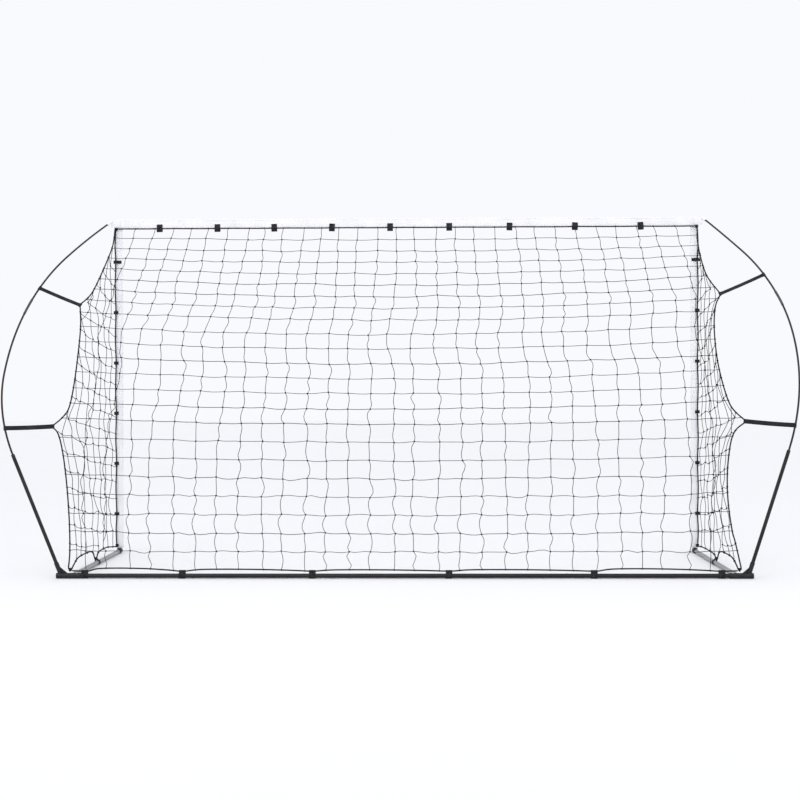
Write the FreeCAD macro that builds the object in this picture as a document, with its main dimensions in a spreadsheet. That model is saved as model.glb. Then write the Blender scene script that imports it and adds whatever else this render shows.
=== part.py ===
import FreeCAD
import Part
import Sketcher
import math
import os

# Portable bow-frame hockey goal with its net.  Millimetres, +Z up, +Y towards the mouth.
# The origin is on the ground, at the middle of the goal's footprint.

Vector = FreeCAD.Vector
UP = Vector(0, 0, 1)
LEFT = -1
RIGHT = 1

SIZES = (
    # whole goal
    ("mouth_width", 3660, "clear width between the post bands"),
    ("band_bottom", 2100, "lower edge of the crossbar band"),
    ("band_height", 60, "height of the crossbar band"),
    ("band_thick", 4, "padded thickness of the white bands"),
    ("post_width", 54, "width of a post band"),
    ("post_foot", 34, "lower end of a post band"),
    ("front_y", 550, "plane of the mouth"),
    ("rear_y", -550, "axis of the rear ground bar"),
    ("axis_z", 15, "height of the ground tubes' axes"),
    # ground tubes
    ("bar_r", 12.5, "ground tube, outer radius"),
    ("bar_bore_r", 11, "ground tube, bore radius"),
    ("bar_length", 945, "one section of the rear bar"),
    ("male_r", 10.8, "swaged end, outer radius"),
    ("male_bore_r", 9, "swaged end, bore radius"),
    ("male_length", 70, "swaged end, length in the next tube"),
    ("swage", 4, "length of the swaged step"),
    ("fit_gap", 0.3, "clearance round moving and wrapped pieces"),
    # corner connector and front foot
    ("sleeve_r", 15.5, "connector sleeve, outer radius"),
    ("sleeve_bore_r", 12.65, "connector sleeve, bore radius"),
    ("sleeve_inner_x", 1808, "connector sleeve, inner end"),
    ("sleeve_outer_x", 1940, "connector sleeve, outer end"),
    ("side_x", 1857, "axis of a side bar"),
    ("side_start", 16, "rear bar axis to the side bar's rear end"),
    ("stub_length", 75, "connector stub inside the side bar"),
    ("socket_x", 1916, "where the socket axis meets the sleeve axis"),
    ("socket_r", 12.5, "bow socket, outer radius"),
    ("socket_bore_r", 10.25, "bow socket, bore radius"),
    ("socket_length", 78, "bow socket, from the sleeve axis"),
    ("socket_floor", 19, "bottom of the bow socket's bore"),
    ("gusset_reach", 60, "gusset along the sleeve"),
    ("gusset_rise", 50, "gusset up the socket"),
    ("gusset_thick", 4, "gusset plate"),
    ("cap_flange", 3, "end cap flange"),
    ("cap_plug", 15, "end cap plug inside the sleeve"),
    ("cap_plug_r", 12.45, "end cap plug radius"),
    ("foot_length", 40, "front foot cap"),
    ("foot_wall", 5, "closed front of the foot cap"),
    ("side_end_gap", 0.5, "side bar end to the foot cap's floor"),
    # bow
    ("left_tilt", 21.77, "outward lean of the left lower tube, degrees"),
    ("right_tilt", 17.73, "outward lean of the right lower tube, degrees"),
    ("left_swing", 53.77, "plane of the left bend: 0 inwards, 90 straight forwards"),
    ("right_swing", 59.03, "plane of the right bend: 0 inwards, 90 straight forwards"),
    ("tube_r", 10, "lower bow tube, outer radius"),
    ("tube_bore_r", 8.5, "lower bow tube, bore radius"),
    ("tube_top", 723.8, "top of the lower tube, from the sleeve axis"),
    ("tube_bottom", 19.5, "foot of the lower tube, from the sleeve axis"),
    ("pole_r", 5.5, "fibreglass pole, outer radius"),
    ("pole_bore_r", 2.5, "fibreglass pole, bore radius"),
    ("pole_inside", 80, "pole length inside the lower tube"),
    ("cord_r", 1.75, "elastic cord radius"),
    ("arc_length", 491.3, "length of each of the four arcs of the bend"),
    ("left_arc_one", 792, "bend radius of the left bow, lowest arc"),
    ("left_arc_two", 1788, "bend radius of the left bow, second arc"),
    ("left_arc_three", 1917, "bend radius of the left bow, third arc"),
    ("left_arc_four", 5498, "bend radius of the left bow, top arc"),
    ("right_arc_one", 1018, "bend radius of the right bow, lowest arc"),
    ("right_arc_two", 1245, "bend radius of the right bow, second arc"),
    ("right_arc_three", 1902, "bend radius of the right bow, third arc"),
    ("right_arc_four", 15000, "bend radius of the right bow, top arc"),
    ("bush_r", 8.3, "reducer plug radius"),
    ("bush_plug", 40, "reducer plug length"),
    ("bush_flange", 8, "reducer head height"),
    ("bush_bore_r", 5.7, "reducer bore radius"),
    ("ferrule_r", 7.2, "ferrule outer radius"),
    ("ferrule_bore_r", 6.1, "ferrule bore radius"),
    ("ferrule_half", 60, "ferrule length each side of the pole joint"),
    ("tip_r", 7, "pole tip outer radius"),
    ("tip_bore_r", 5.8, "pole tip bore radius"),
    ("tip_cover", 25, "pole tip length over the pole"),
    ("tip_end", 4, "pole tip closed end"),
    ("pocket_r", 10, "corner pocket sleeve, outer radius"),
    ("pocket_bore_r", 7.4, "corner pocket sleeve, inner radius"),
    ("pocket_cover", 48, "corner pocket length over the pole"),
    ("pocket_end", 8, "corner pocket closed end"),
    ("flap_width", 58, "corner pocket flap behind the crossbar band"),
    ("flap_height", 46, "corner pocket flap height"),
    ("flap_thick", 2, "corner pocket flap thickness"),
    # webbing and ropes
    ("webbing", 2, "webbing thickness"),
    ("webbing_width", 25, "webbing width"),
    ("rope_r", 4, "border rope radius"),
    ("rope_gap", 0.8, "clearance round a border rope"),
    ("rope_back", 10, "border ropes behind the plane of the mouth"),
    ("rope_post_x", 1875, "post border rope"),
    ("rope_low_z", 40, "border ropes along the ground tubes"),
    ("rope_rear_y", -543, "border rope above the rear bar"),
    ("rope_side_x", 1868, "border rope above a side bar"),
    ("tie_wall", 1.6, "tie thickness round a ground tube"),
    ("tie_width", 38, "tie width"),
    ("left_strap_lower", 164, "left lower strap, along the bend from the tube top"),
    ("left_strap_upper", 1144, "left upper strap, along the bend from the tube top"),
    ("right_strap_lower", 151, "right lower strap, along the bend from the tube top"),
    ("right_strap_upper", 1200, "right upper strap, along the bend from the tube top"),
    ("net_thick", 1, "net panel, bulk thickness"),
    # hook-and-loop tabs, a folded strip seen from its edge
    ("tab_width", 36, "width of a tab on the crossbar"),
    ("post_tab_width", 20, "width of a tab on a post"),
    ("tab_thick", 2, "tab strip thickness"),
    ("tab_depth", 20.8, "tab, rear leg to front leg"),
    ("tab_height", 51, "tab height"),
    ("tab_shoulder", 29, "height of the tab's bend round the rope"),
    ("tab_neck", 37, "height where the tab meets the band"),
    ("tab_neck_depth", 14.2, "rear leg of the tab against the band"),
    ("tab_below", 23, "tab loop below the rope"),
    ("tab_behind", 16.5, "tab loop behind the plane of the mouth"),
    # spring-loaded snap buttons
    ("stud_r", 4, "button stud radius"),
    ("stud_hole_r", 4.3, "button hole radius"),
    ("stud_proud", 3.5, "button above the outer tube"),
    ("flange_r", 5, "button flange radius"),
    ("flange_thick", 1.2, "button flange thickness"),
    ("flange_low", 6, "button flange in a swaged end, above the tube axis"),
    ("flange_high", 8.3, "button flange in a full tube, above the tube axis"),
    ("male_hole", 35, "button from the shoulder of a swaged end"),
    ("corner_hole_x", 1828, "corner button"),
    ("strip", 0.8, "spring strip thickness"),
    ("strip_width", 8, "spring strip width"),
    ("strip_flat", 10, "spring strip under the button"),
    ("strip_length", 43, "spring strip, button to the bend of the V"),
    ("drop_low", 7.6, "spring strip below the axis of a swaged end"),
    ("drop_high", 9.9, "spring strip below the axis of a full tube"),
)

FORMULAS = (
    ("male_end", "=bar_length + male_length", "end of the swaged part"),
    ("swage_start", "=bar_length - swage", "full tube diameter ends"),
    ("female_hole", "=male_hole", "button hole in the female end"),
    ("male_hole_z", "=bar_length + male_hole", "button hole in the swaged end"),
    ("mate_hole_z", "=bar_length - male_hole", "button hole in the far female end"),
    ("bar_outer_x", "=2 * bar_length", "outer end of the rear bar"),
    ("corner_hole_z", "=bar_outer_x - corner_hole_x", "corner button from the bar's outer end"),
    ("side_length", "=front_y + sleeve_r - foot_wall - side_end_gap - rear_y - side_start",
     "side bar length"),
    ("side_hole_z", "=stub_length / 2", "side button from the side bar's rear end"),
    ("post_x", "=(mouth_width + post_width) / 2", "middle of a post band"),
    ("crossbar_width", "=mouth_width + 2 * post_width", "crossbar band length"),
    ("post_height", "=band_bottom - post_foot - fit_gap", "post band length"),
    ("bush_top", "=bush_plug + bush_flange", "reducer length"),
    ("cap_length", "=cap_plug + cap_flange", "end cap length"),
    ("tip_length", "=tip_cover + tip_end", "pole tip length"),
    ("tab_inner_front", "=tab_depth - tab_thick", "inside of the tab's front leg"),
    ("tab_neck_outer", "=tab_neck_depth - tab_thick", "outside of the tab's rear leg"),
    ("tab_neck_low", "=tab_neck + 0.6 * tab_thick", "outside of the tab's slope, top"),
    ("tab_shoulder_low", "=tab_shoulder + 0.6 * tab_thick", "outside of the tab's slope, foot"),
    ("top_tube", "=bar_r + stud_proud", "button top above the axis, on a ground tube"),
    ("top_sleeve", "=sleeve_r + stud_proud", "button top above the axis, on a connector"),
    ("strip_inner", "=strip_length - 2 * strip", "inside of the V's bend"),
)

TAB_PROFILE = (
    ("tab_depth", 0), ("tab_depth", "tab_height"), ("tab_inner_front", "tab_height"),
    ("tab_inner_front", "tab_thick"), ("tab_thick", "tab_thick"), ("tab_thick", "tab_shoulder"),
    ("tab_neck_depth", "tab_neck"), ("tab_neck_depth", "tab_height"),
    ("tab_neck_outer", "tab_height"), ("tab_neck_outer", "tab_neck_low"),
    (0, "tab_shoulder_low"), (0, 0),
)
CROSSBAR_TABS = (-1589, -1214, -846, -472, -97, 284, 672, 1092, 1512)
POST_TABS = (255, 581, 907, 1233, 1559, 1885)
REAR_TIES = (-1785, -1236, -507, 256, 1063, 1770)
SIDE_TIE = 0
HANDS = ("left", "right")

# Both sides of the net are written for the left hand; the right-hand ones are mirrored.
# Where a strap pulls the edge rope outwards.
HOLDS = {
    "left": {"upper": Vector(-1940, -55, 1565), "lower": Vector(-1978, -481, 850)},
    "right": {"upper": Vector(-1889, -4, 1621), "lower": Vector(-1915, -472, 871)},
}
# The edge rope's run above, between and below the two straps.
EDGE_RUNS = {
    "left": (
        (Vector(-1859, 267, 1864), Vector(-1894, 0, 1628)),
        (Vector(-1914, -152, 1403), Vector(-1901, -330, 1110), Vector(-1912, -430, 940)),
        (Vector(-1930, -498, 745), Vector(-1889, -526, 500), Vector(-1872, -536, 230)),
    ),
    "right": (
        (Vector(-1837, 254, 1852), Vector(-1849, 100, 1713)),
        (Vector(-1826, -130, 1436), Vector(-1814, -280, 1187), Vector(-1848, -413, 968)),
        (Vector(-1833, -495, 755), Vector(-1807, -525, 520), Vector(-1838, -537, 225)),
    ),
}
# Corners of the side panels between the upper strap, the lower strap and the ground.
PANEL_EDGE = {
    "left": (Vector(-1915, -198, 1290), Vector(-1905, -499, 560)),
    "right": (Vector(-1822, -215, 1262), Vector(-1816, -500, 560)),
}
# Half widths of the rear net at its four levels.
REAR_HALF_WIDTHS = {"left": (1861, 1861, 1861, 1861), "right": (1861, 1795, 1795, 1840)}

doc = FreeCAD.newDocument("Goal")
sheet = doc.addObject("Spreadsheet::Sheet", "Sizes")
subparts = []


# ---------------------------------------------------------------- helpers
def fill_sheet():
    """One row for each size: its name, its value or formula, and what it is."""
    for row, (alias, value, note) in enumerate(SIZES + FORMULAS, start=1):
        sheet.set("A%d" % row, alias)
        sheet.set("B%d" % row, str(value))
        sheet.set("C%d" % row, note)
        sheet.setAlias("B%d" % row, alias)
    doc.recompute()


def size(alias):
    """The value of a sheet cell, as a plain number."""
    return float(sheet.get(alias)) if alias else 0.0


def bind(feature, **formulas):
    """Tie properties of a feature to formulas on the sheet's cells."""
    for prop, formula in formulas.items():
        feature.setExpression(prop, formula)


def cell(alias):
    return "Sizes." + alias


def point(side, x, y, z):
    return Vector(side * x, y, z)


def turn(axis, degrees):
    return FreeCAD.Rotation(axis, degrees)


def facing(direction):
    """Rotation that takes +Z to a direction."""
    return FreeCAD.Rotation(UP, direction)


def keep(feature, label):
    """Make a feature one of the exported sub-parts."""
    feature.Label = label
    subparts.append(feature)
    return feature


def mirrored(feature, label):
    """The right-hand copy of a left-hand sub-part."""
    copy = doc.addObject("Part::Mirroring", label)
    copy.Source = feature
    copy.Base = Vector(0, 0, 0)
    copy.Normal = Vector(1, 0, 0)
    return keep(copy, label)


def pair(feature, stem):
    """Keep a left-hand sub-part and its right-hand mirror copy."""
    keep(feature, stem + "_left")
    mirrored(feature, stem + "_right")


def place(feature, stem, hand):
    """Keep a sub-part written for the left hand on the side it belongs to."""
    if hand == "left":
        return keep(feature, stem + "_left")
    return mirrored(feature, stem + "_right")


def origin_plane(body, role):
    for feature in body.Origin.OriginFeatures:
        if feature.Role == role:
            return feature
    raise ValueError(role)


def new_sketch(body, name, role):
    sketch = body.newObject("Sketcher::SketchObject", name)
    sketch.AttachmentSupport = (origin_plane(body, role), [""])
    sketch.MapMode = "FlatFace"
    return sketch


def pin(sketch, item, end, x, y):
    """Hold a sketch point at two sheet sizes from the sketch's origin."""
    if x:
        index = sketch.addConstraint(
            Sketcher.Constraint("DistanceX", -1, 1, item, end, size(x)))
        sketch.setExpression("Constraints[%d]" % index, cell(x))
    else:
        sketch.addConstraint(Sketcher.Constraint("PointOnObject", item, end, -2))
    if y:
        index = sketch.addConstraint(
            Sketcher.Constraint("DistanceY", -1, 1, item, end, size(y)))
        sketch.setExpression("Constraints[%d]" % index, cell(y))
    else:
        sketch.addConstraint(Sketcher.Constraint("PointOnObject", item, end, -1))


def outline(body, name, role, corners):
    """A closed sketch of straight lines through corners given as sheet sizes."""
    sketch = new_sketch(body, name, role)
    spots = [Vector(size(x), size(y), 0) for x, y in corners]
    count = len(spots)
    for i in range(count):
        sketch.addGeometry(Part.LineSegment(spots[i], spots[(i + 1) % count]), False)
    for i in range(count):
        sketch.addConstraint(Sketcher.Constraint("Coincident", i, 2, (i + 1) % count, 1))
    for i, (x, y) in enumerate(corners):
        pin(sketch, i, 1, x, y)
    return sketch


def turned_body(name, corners):
    """A body of revolution about its own Z axis, from (radius, height) corners."""
    body = doc.addObject("PartDesign::Body", name)
    sketch = outline(body, name + "_profile", "XZ_Plane", corners)
    revolution = body.newObject("PartDesign::Revolution", name + "_turned")
    revolution.Profile = sketch
    revolution.ReferenceAxis = (sketch, ["V_Axis"])
    revolution.Angle = 360
    body.Tip = revolution
    return body


def plate_body(name, role, corners, thickness):
    """A flat-sided body: an outline padded equally to both sides of its plane."""
    body = doc.addObject("PartDesign::Body", name)
    sketch = outline(body, name + "_profile", role, corners)
    pad = body.newObject("PartDesign::Pad", name + "_pad")
    pad.Profile = sketch
    pad.SideType = "Symmetric"
    bind(pad, Length=cell(thickness))
    body.Tip = pad
    return body


def button_hole(body, height):
    """A round pocket through one wall of a tube body, on its local -X side."""
    name = body.Name + "_hole_" + height
    sketch = new_sketch(body, name + "_circle", "YZ_Plane")
    centre = Vector(0, size(height), 0)
    sketch.addGeometry(Part.Circle(centre, UP, size("stud_hole_r")), False)
    radius = sketch.addConstraint(Sketcher.Constraint("Radius", 0, size("stud_hole_r")))
    sketch.setExpression("Constraints[%d]" % radius, cell("stud_hole_r"))
    pin(sketch, 0, 3, None, height)
    pocket = body.newObject("PartDesign::Pocket", name)
    pocket.Profile = sketch
    bind(pocket, Length="2 * " + cell("bar_r"))
    body.Tip = pocket


def cylinder(name, radius, height, base, direction):
    feature = doc.addObject("Part::Cylinder", name)
    bind(feature, Radius=radius, Height=height)
    feature.Placement = FreeCAD.Placement(base, facing(direction))
    return feature


def box(name, length, width, height, corner):
    feature = doc.addObject("Part::Box", name)
    bind(feature, Length=length, Width=width, Height=height)
    feature.Placement = FreeCAD.Placement(corner, FreeCAD.Rotation())
    return feature


def cut(name, base, tool):
    feature = doc.addObject("Part::Cut", name)
    feature.Base = base
    feature.Tool = tool
    return feature


def fuse(name, features):
    feature = doc.addObject("Part::MultiFuse", name)
    feature.Shapes = features
    return feature


def group(name, features):
    feature = doc.addObject("Part::Compound", name)
    feature.Links = features
    return keep(feature, name)


def soft(label, shape):
    """A sub-part whose free-form shape is made here from the sheet's sizes."""
    feature = doc.addObject("Part::Feature", label)
    feature.Shape = shape
    return keep(feature, label)


# ---------------------------------------------------------------- ground frame
def rear_section(name, start_x, male, holes):
    """One section of the rear bar, running towards +X from start_x."""
    if male:
        corners = (
            ("bar_bore_r", 0), ("bar_r", 0), ("bar_r", "swage_start"),
            ("male_r", "bar_length"), ("male_r", "male_end"), ("male_bore_r", "male_end"),
            ("male_bore_r", "bar_length"), ("bar_bore_r", "swage_start"),
        )
    else:
        corners = (
            ("bar_bore_r", 0), ("bar_r", 0), ("bar_r", "bar_length"),
            ("bar_bore_r", "bar_length"),
        )
    body = turned_body(name, corners)
    for hole in holes:
        button_hole(body, hole)
    base = Vector(start_x, size("rear_y"), size("axis_z"))
    body.Placement = FreeCAD.Placement(base, turn(Vector(0, 1, 0), 90))
    return body


def rear_bar():
    length = size("bar_length")
    end = rear_section("rear_bar_left_end", -2 * length, True,
                       ("corner_hole_z", "male_hole_z"))
    keep(end, "rear_bar_left_end")
    keep(rear_section("rear_bar_left_mid", -length, True, ("female_hole", "male_hole_z")),
         "rear_bar_left_mid")
    keep(rear_section("rear_bar_right_mid", 0, False, ("female_hole", "mate_hole_z")),
         "rear_bar_right_mid")
    mirrored(end, "rear_bar_right_end")


def side_bar():
    body = turned_body("side_bar_left", (
        ("bar_bore_r", 0), ("bar_r", 0), ("bar_r", "side_length"),
        ("bar_bore_r", "side_length")))
    button_hole(body, "side_hole_z")
    base = point(LEFT, size("side_x"), size("rear_y") + size("side_start"), size("axis_z"))
    # local Z forwards along the bar, local -X upwards
    lay = turn(UP, 90) * turn(Vector(0, 1, 0), 90)
    body.Placement = FreeCAD.Placement(base, lay)
    pair(body, "side_bar")


def gusset(origin):
    """Triangular plate between the sleeve and the leaning socket."""
    corners = ((0, 0), ("gusset_reach", 0), (0, "gusset_rise"))
    body = plate_body("gusset", "XZ_Plane", corners, "gusset_thick")
    body.Placement = FreeCAD.Placement(origin - Vector(8, 0, 0), FreeCAD.Rotation())
    return body


def corner_connector(hand):
    """Sleeve on the rear bar, stub for the side bar and leaning socket for the bow."""
    rear = size("rear_y")
    axis = size("axis_z")
    sleeve_end = point(LEFT, size("sleeve_outer_x"), rear, axis)
    side_root = point(LEFT, size("side_x"), rear, axis)
    root = bow_origin()
    along = Vector(1, 0, 0)
    sleeve_length = "Sizes.sleeve_outer_x - Sizes.sleeve_inner_x"
    solid = fuse("connector_solid", [
        cylinder("sleeve", cell("sleeve_r"), sleeve_length, sleeve_end, along),
        cylinder("stub", cell("male_r"), "Sizes.side_start + Sizes.stub_length",
                 side_root, Vector(0, 1, 0)),
        cylinder("socket", cell("socket_r"), cell("socket_length"), root, bow_up(hand)),
        gusset(root),
    ])
    stub_bore = side_root + Vector(0, size("side_start") + 2, 0)
    side_hole = side_root + Vector(0, size("side_start") + size("side_hole_z"), 0)
    corner_hole = point(LEFT, size("corner_hole_x"), rear, axis)
    tools = fuse("connector_tools", [
        cylinder("sleeve_bore", cell("sleeve_bore_r"), sleeve_length + " + 20",
                 sleeve_end - Vector(10, 0, 0), along),
        cylinder("stub_bore", cell("male_bore_r"), cell("stub_length"), stub_bore,
                 Vector(0, 1, 0)),
        cylinder("socket_bore", cell("socket_bore_r"), cell("socket_length"),
                 root + bow_up(hand) * size("socket_floor"), bow_up(hand)),
        cylinder("corner_button_hole", cell("stud_hole_r"), "2 * Sizes.bar_r", corner_hole, UP),
        cylinder("side_button_hole", cell("stud_hole_r"), "2 * Sizes.bar_r", side_hole, UP),
        box("connector_ground", "400", "400", "40", root + Vector(-200, -200, -axis - 40)),
    ])
    place(cut("connector", solid, tools), "corner_connector", hand)


def connector_cap():
    body = turned_body("connector_cap", (
        (0, 0), ("cap_plug_r", 0), ("cap_plug_r", "cap_plug"), ("sleeve_r", "cap_plug"),
        ("sleeve_r", "cap_length"), (0, "cap_length")))
    inner = point(LEFT, size("sleeve_outer_x") - size("cap_plug"), size("rear_y"), size("axis_z"))
    body.Placement = FreeCAD.Placement(inner, facing(Vector(-1, 0, 0)))
    ground = box("cap_ground", "80", "80", "40", inner + Vector(-60, -40, -size("axis_z") - 40))
    pair(cut("connector_cap_flat", body, ground), "connector_cap")


def front_foot():
    """Plastic cap on a side bar's front end, with a flat sole on the ground."""
    front = size("front_y") + size("sleeve_r")
    start = point(LEFT, size("side_x"), front - size("foot_length"), size("axis_z"))
    forwards = Vector(0, 1, 0)
    solid = cylinder("foot_solid", cell("sleeve_r"), cell("foot_length"), start, forwards)
    tools = fuse("foot_tools", [
        cylinder("foot_bore", cell("sleeve_bore_r"), "Sizes.foot_length - Sizes.foot_wall",
                 start, forwards),
        box("foot_ground", "80", "80", "40", start + Vector(-40, -20, -size("axis_z") - 40)),
    ])
    pair(cut("front_foot", solid, tools), "front_foot")


# ---------------------------------------------------------------- bows
def bow_up(hand):
    """Direction of a straight lower tube."""
    tilt = math.radians(size(hand + "_tilt"))
    return Vector(-math.sin(tilt), 0, math.cos(tilt))


def bow_bend(hand):
    """Direction in which a bow bends away from its straight tube."""
    tilt = math.radians(size(hand + "_tilt"))
    swing = math.radians(size(hand + "_swing"))
    inwards = Vector(math.cos(tilt), 0, math.sin(tilt))
    return inwards * math.cos(swing) + Vector(0, 1, 0) * math.sin(swing)


def bow_origin():
    return point(LEFT, size("socket_x"), size("rear_y"), size("axis_z"))


def bow_plane(hand):
    """Placement whose local X runs up the tube and local Y towards the bend."""
    up = bow_up(hand)
    bend = bow_bend(hand)
    return FreeCAD.Placement(bow_origin(), FreeCAD.Rotation(up, bend, up.cross(bend), "XYZ"))


def bow_arcs(hand):
    """For each arc: (radius cell, turn in degrees, start point, start heading)."""
    spot = Vector(size("tube_top"), 0, 0)
    heading = 0.0
    arcs = []
    for step in ("one", "two", "three", "four"):
        alias = "%s_arc_%s" % (hand, step)
        radius = size(alias)
        angle = math.degrees(size("arc_length") / radius)
        arcs.append((alias, angle, spot, heading))
        centre = spot + Vector(-math.sin(math.radians(heading)),
                               math.cos(math.radians(heading)), 0) * radius
        heading += angle
        spot = centre + Vector(math.sin(math.radians(heading)),
                               -math.cos(math.radians(heading)), 0) * radius
    return arcs


def bow_spot(hand, distance):
    """Point and direction on a bow, a distance along its bend."""
    arcs = bow_arcs(hand)
    index = min(int(distance / size("arc_length")), len(arcs) - 1)
    alias, angle, spot, heading = arcs[index]
    radius = size(alias)
    start = math.radians(heading)
    end = start + (distance - index * size("arc_length")) / radius
    local = spot + Vector(math.sin(end) - math.sin(start),
                          math.cos(start) - math.cos(end), 0) * radius
    frame = bow_plane(hand)
    heading_now = Vector(math.cos(end), math.sin(end), 0)
    return frame.multVec(local), frame.Rotation.multVec(heading_now)


def arc_tube(name, radius, hand, arc):
    """A bent rod on one arc of a bow."""
    alias, angle, spot, heading = arc
    feature = doc.addObject("Part::Torus", name)
    bind(feature, Radius1=cell(alias), Radius2=radius,
         Angle3="Sizes.arc_length / Sizes.%s * 180 / pi" % alias)
    feature.Placement = arc_placement(hand, alias, spot, heading, heading)
    return feature


def arc_placement(hand, alias, spot, heading, begin):
    """Places a torus on an arc of a bow, so that it starts at a heading."""
    angle = math.radians(heading)
    centre = spot + Vector(-math.sin(angle), math.cos(angle), 0) * size(alias)
    return bow_plane(hand).multiply(FreeCAD.Placement(centre, turn(UP, begin - 90)))


def straight_rod(name, radius, length, hand, start):
    """A straight rod inside the lower tube, start given from the sleeve axis."""
    base = bow_plane(hand).multVec(Vector(start, 0, 0))
    return cylinder(name, radius, length, base, bow_up(hand))


def rod_chain(name, radius, hand, arcs, with_straight):
    """The pole's line as one solid: the straight part, then its arcs."""
    parts = []
    if with_straight:
        parts.append(straight_rod(name + "_straight", radius, cell("pole_inside"), hand,
                                  size("tube_top") - size("pole_inside")))
    for i, arc in enumerate(arcs):
        parts.append(arc_tube("%s_arc_%d" % (name, i), radius, hand, arc))
    return fuse(name, parts)


def lower_tube(hand):
    start = size("tube_bottom")
    length = "Sizes.tube_top - Sizes.tube_bottom"
    outer = straight_rod("lower_tube_outer", cell("tube_r"), length, hand, start)
    inner = straight_rod("lower_tube_bore", cell("tube_bore_r"), length, hand, start)
    place(cut("lower_tube", outer, inner), "bow_lower_tube", hand)


def pole_reducer(hand):
    body = turned_body("reducer", (
        ("bush_bore_r", 0), ("bush_r", 0), ("bush_r", "bush_plug"), ("tube_r", "bush_plug"),
        ("tube_r", "bush_top"), ("bush_bore_r", "bush_top")))
    start = size("tube_top") - size("bush_plug")
    body.Placement = FreeCAD.Placement(bow_plane(hand).multVec(Vector(start, 0, 0)),
                                       facing(bow_up(hand)))
    place(body, "pole_reducer", hand)


def poles(hand):
    arcs = bow_arcs(hand)
    for name, span, straight in (("pole_lower", arcs[:2], True), ("pole_upper", arcs[2:], False)):
        outer = rod_chain(name + "_outer", cell("pole_r"), hand, span, straight)
        inner = rod_chain(name + "_bore", cell("pole_bore_r"), hand, span, straight)
        place(cut(name, outer, inner), name, hand)
    place(rod_chain("cord", cell("cord_r"), hand, arcs, True), "shock_cord", hand)


def pole_ferrule(hand):
    """Steel sleeve over the joint between the two pole sections, bent like the second arc."""
    alias, angle, spot, heading = bow_arcs(hand)[1]
    half = math.degrees(size("ferrule_half") / size(alias))
    shells = []
    for name, radius in (("ferrule_outer", "ferrule_r"), ("ferrule_bore", "ferrule_bore_r")):
        shell = doc.addObject("Part::Torus", name)
        bind(shell, Radius1=cell(alias), Radius2=cell(radius),
             Angle3="2 * Sizes.ferrule_half / Sizes.%s * 180 / pi" % alias)
        shell.Placement = arc_placement(hand, alias, spot, heading, heading + angle - half)
        shells.append(shell)
    place(cut("ferrule", shells[0], shells[1]), "pole_ferrule", hand)


def pole_tip(hand):
    spot, direction = bow_spot(hand, 4 * size("arc_length"))
    body = turned_body("tip", (
        ("tip_bore_r", 0), ("tip_r", 0), ("tip_r", "tip_length"), (0, "tip_length"),
        (0, "tip_cover"), ("tip_bore_r", "tip_cover")))
    body.Placement = FreeCAD.Placement(spot - direction * size("tip_cover") * 0.98,
                                       facing(direction))
    place(body, "pole_tip", hand)


def corner_pocket(hand):
    """Fabric sleeve over the pole tip, with a flap sewn behind the crossbar band."""
    spot, direction = bow_spot(hand, 4 * size("arc_length"))
    start = spot - direction * size("pocket_cover")
    flap_corner = Vector(spot.x - 2, size("front_y") - size("band_thick") / 2
                         - size("fit_gap") - size("flap_thick"), size("band_bottom") + 10)
    solid = fuse("pocket_solid", [
        cylinder("pocket_sleeve", cell("pocket_r"), "Sizes.pocket_cover + Sizes.pocket_end",
                 start, direction),
        box("pocket_flap", cell("flap_width"), cell("flap_thick"), cell("flap_height"),
            flap_corner),
    ])
    solid.Refine = False
    bore = cylinder("pocket_bore", cell("pocket_bore_r"),
                    "Sizes.pocket_cover + Sizes.pocket_end - 3", start, direction)
    pocket = cut("pocket", solid, bore)
    pocket.Refine = False
    place(pocket, "corner_pocket", hand)


# ---------------------------------------------------------------- bands and webbing
def bands():
    """White crossbar band and the two post bands."""
    half = size("band_thick") / 2
    crossbar = box("crossbar", cell("crossbar_width"), cell("band_thick"), cell("band_height"),
                   Vector(-size("crossbar_width") / 2, size("front_y") - half,
                          size("band_bottom")))
    keep(crossbar, "crossbar")
    post = box("post", cell("post_width"), cell("band_thick"), cell("post_height"),
               Vector(-size("post_x") - size("post_width") / 2, size("front_y") - half,
                      size("post_foot")))
    pair(post, "post")


def crossbar_tabs():
    tabs = []
    for i, x in enumerate(CROSSBAR_TABS):
        body = plate_body("crossbar_tab_%d" % i, "YZ_Plane", TAB_PROFILE, "tab_width")
        body.Placement.Base = Vector(x, size("front_y") - size("tab_behind"),
                                     size("band_bottom") - size("tab_below"))
        tabs.append(body)
    group("crossbar_tabs", tabs)


def post_tabs():
    """The same folded tab, lying on its side round the outer edge of a post band."""
    swapped = [(y, x) for x, y in TAB_PROFILE]
    tabs = []
    for i, z in enumerate(POST_TABS):
        body = plate_body("post_tab_%d" % i, "XY_Plane", swapped, "post_tab_width")
        body.Placement.Base = Vector(-size("post_x") - 33, size("front_y") - size("tab_behind"), z)
        tabs.append(body)
    left = group("post_tabs_left", tabs)
    mirrored(left, "post_tabs_right")


def tie(name, tube, rope, along):
    """A hook-and-loop tie: one ring round a ground tube, one round the rope above it."""
    half = along * (size("tie_width") / 2)
    loop_r = "Sizes.rope_r + Sizes.rope_gap"
    ring_r = "Sizes.bar_r + Sizes.fit_gap"
    neck = rope - tube
    solid = fuse(name + "_solid", [
        cylinder(name + "_ring", ring_r + " + Sizes.tie_wall", cell("tie_width"),
                 tube - half, along),
        cylinder(name + "_loop", loop_r + " + Sizes.tie_wall", cell("tie_width"),
                 rope - half, along),
        tie_neck(name, tube, neck, along),
    ])
    tools = fuse(name + "_tools", [
        cylinder(name + "_bar", ring_r, "2 * Sizes.tie_width", tube - half * 2, along),
        cylinder(name + "_rope", loop_r, "2 * Sizes.tie_width", rope - half * 2, along),
    ])
    return cut(name, solid, tools)


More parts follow.
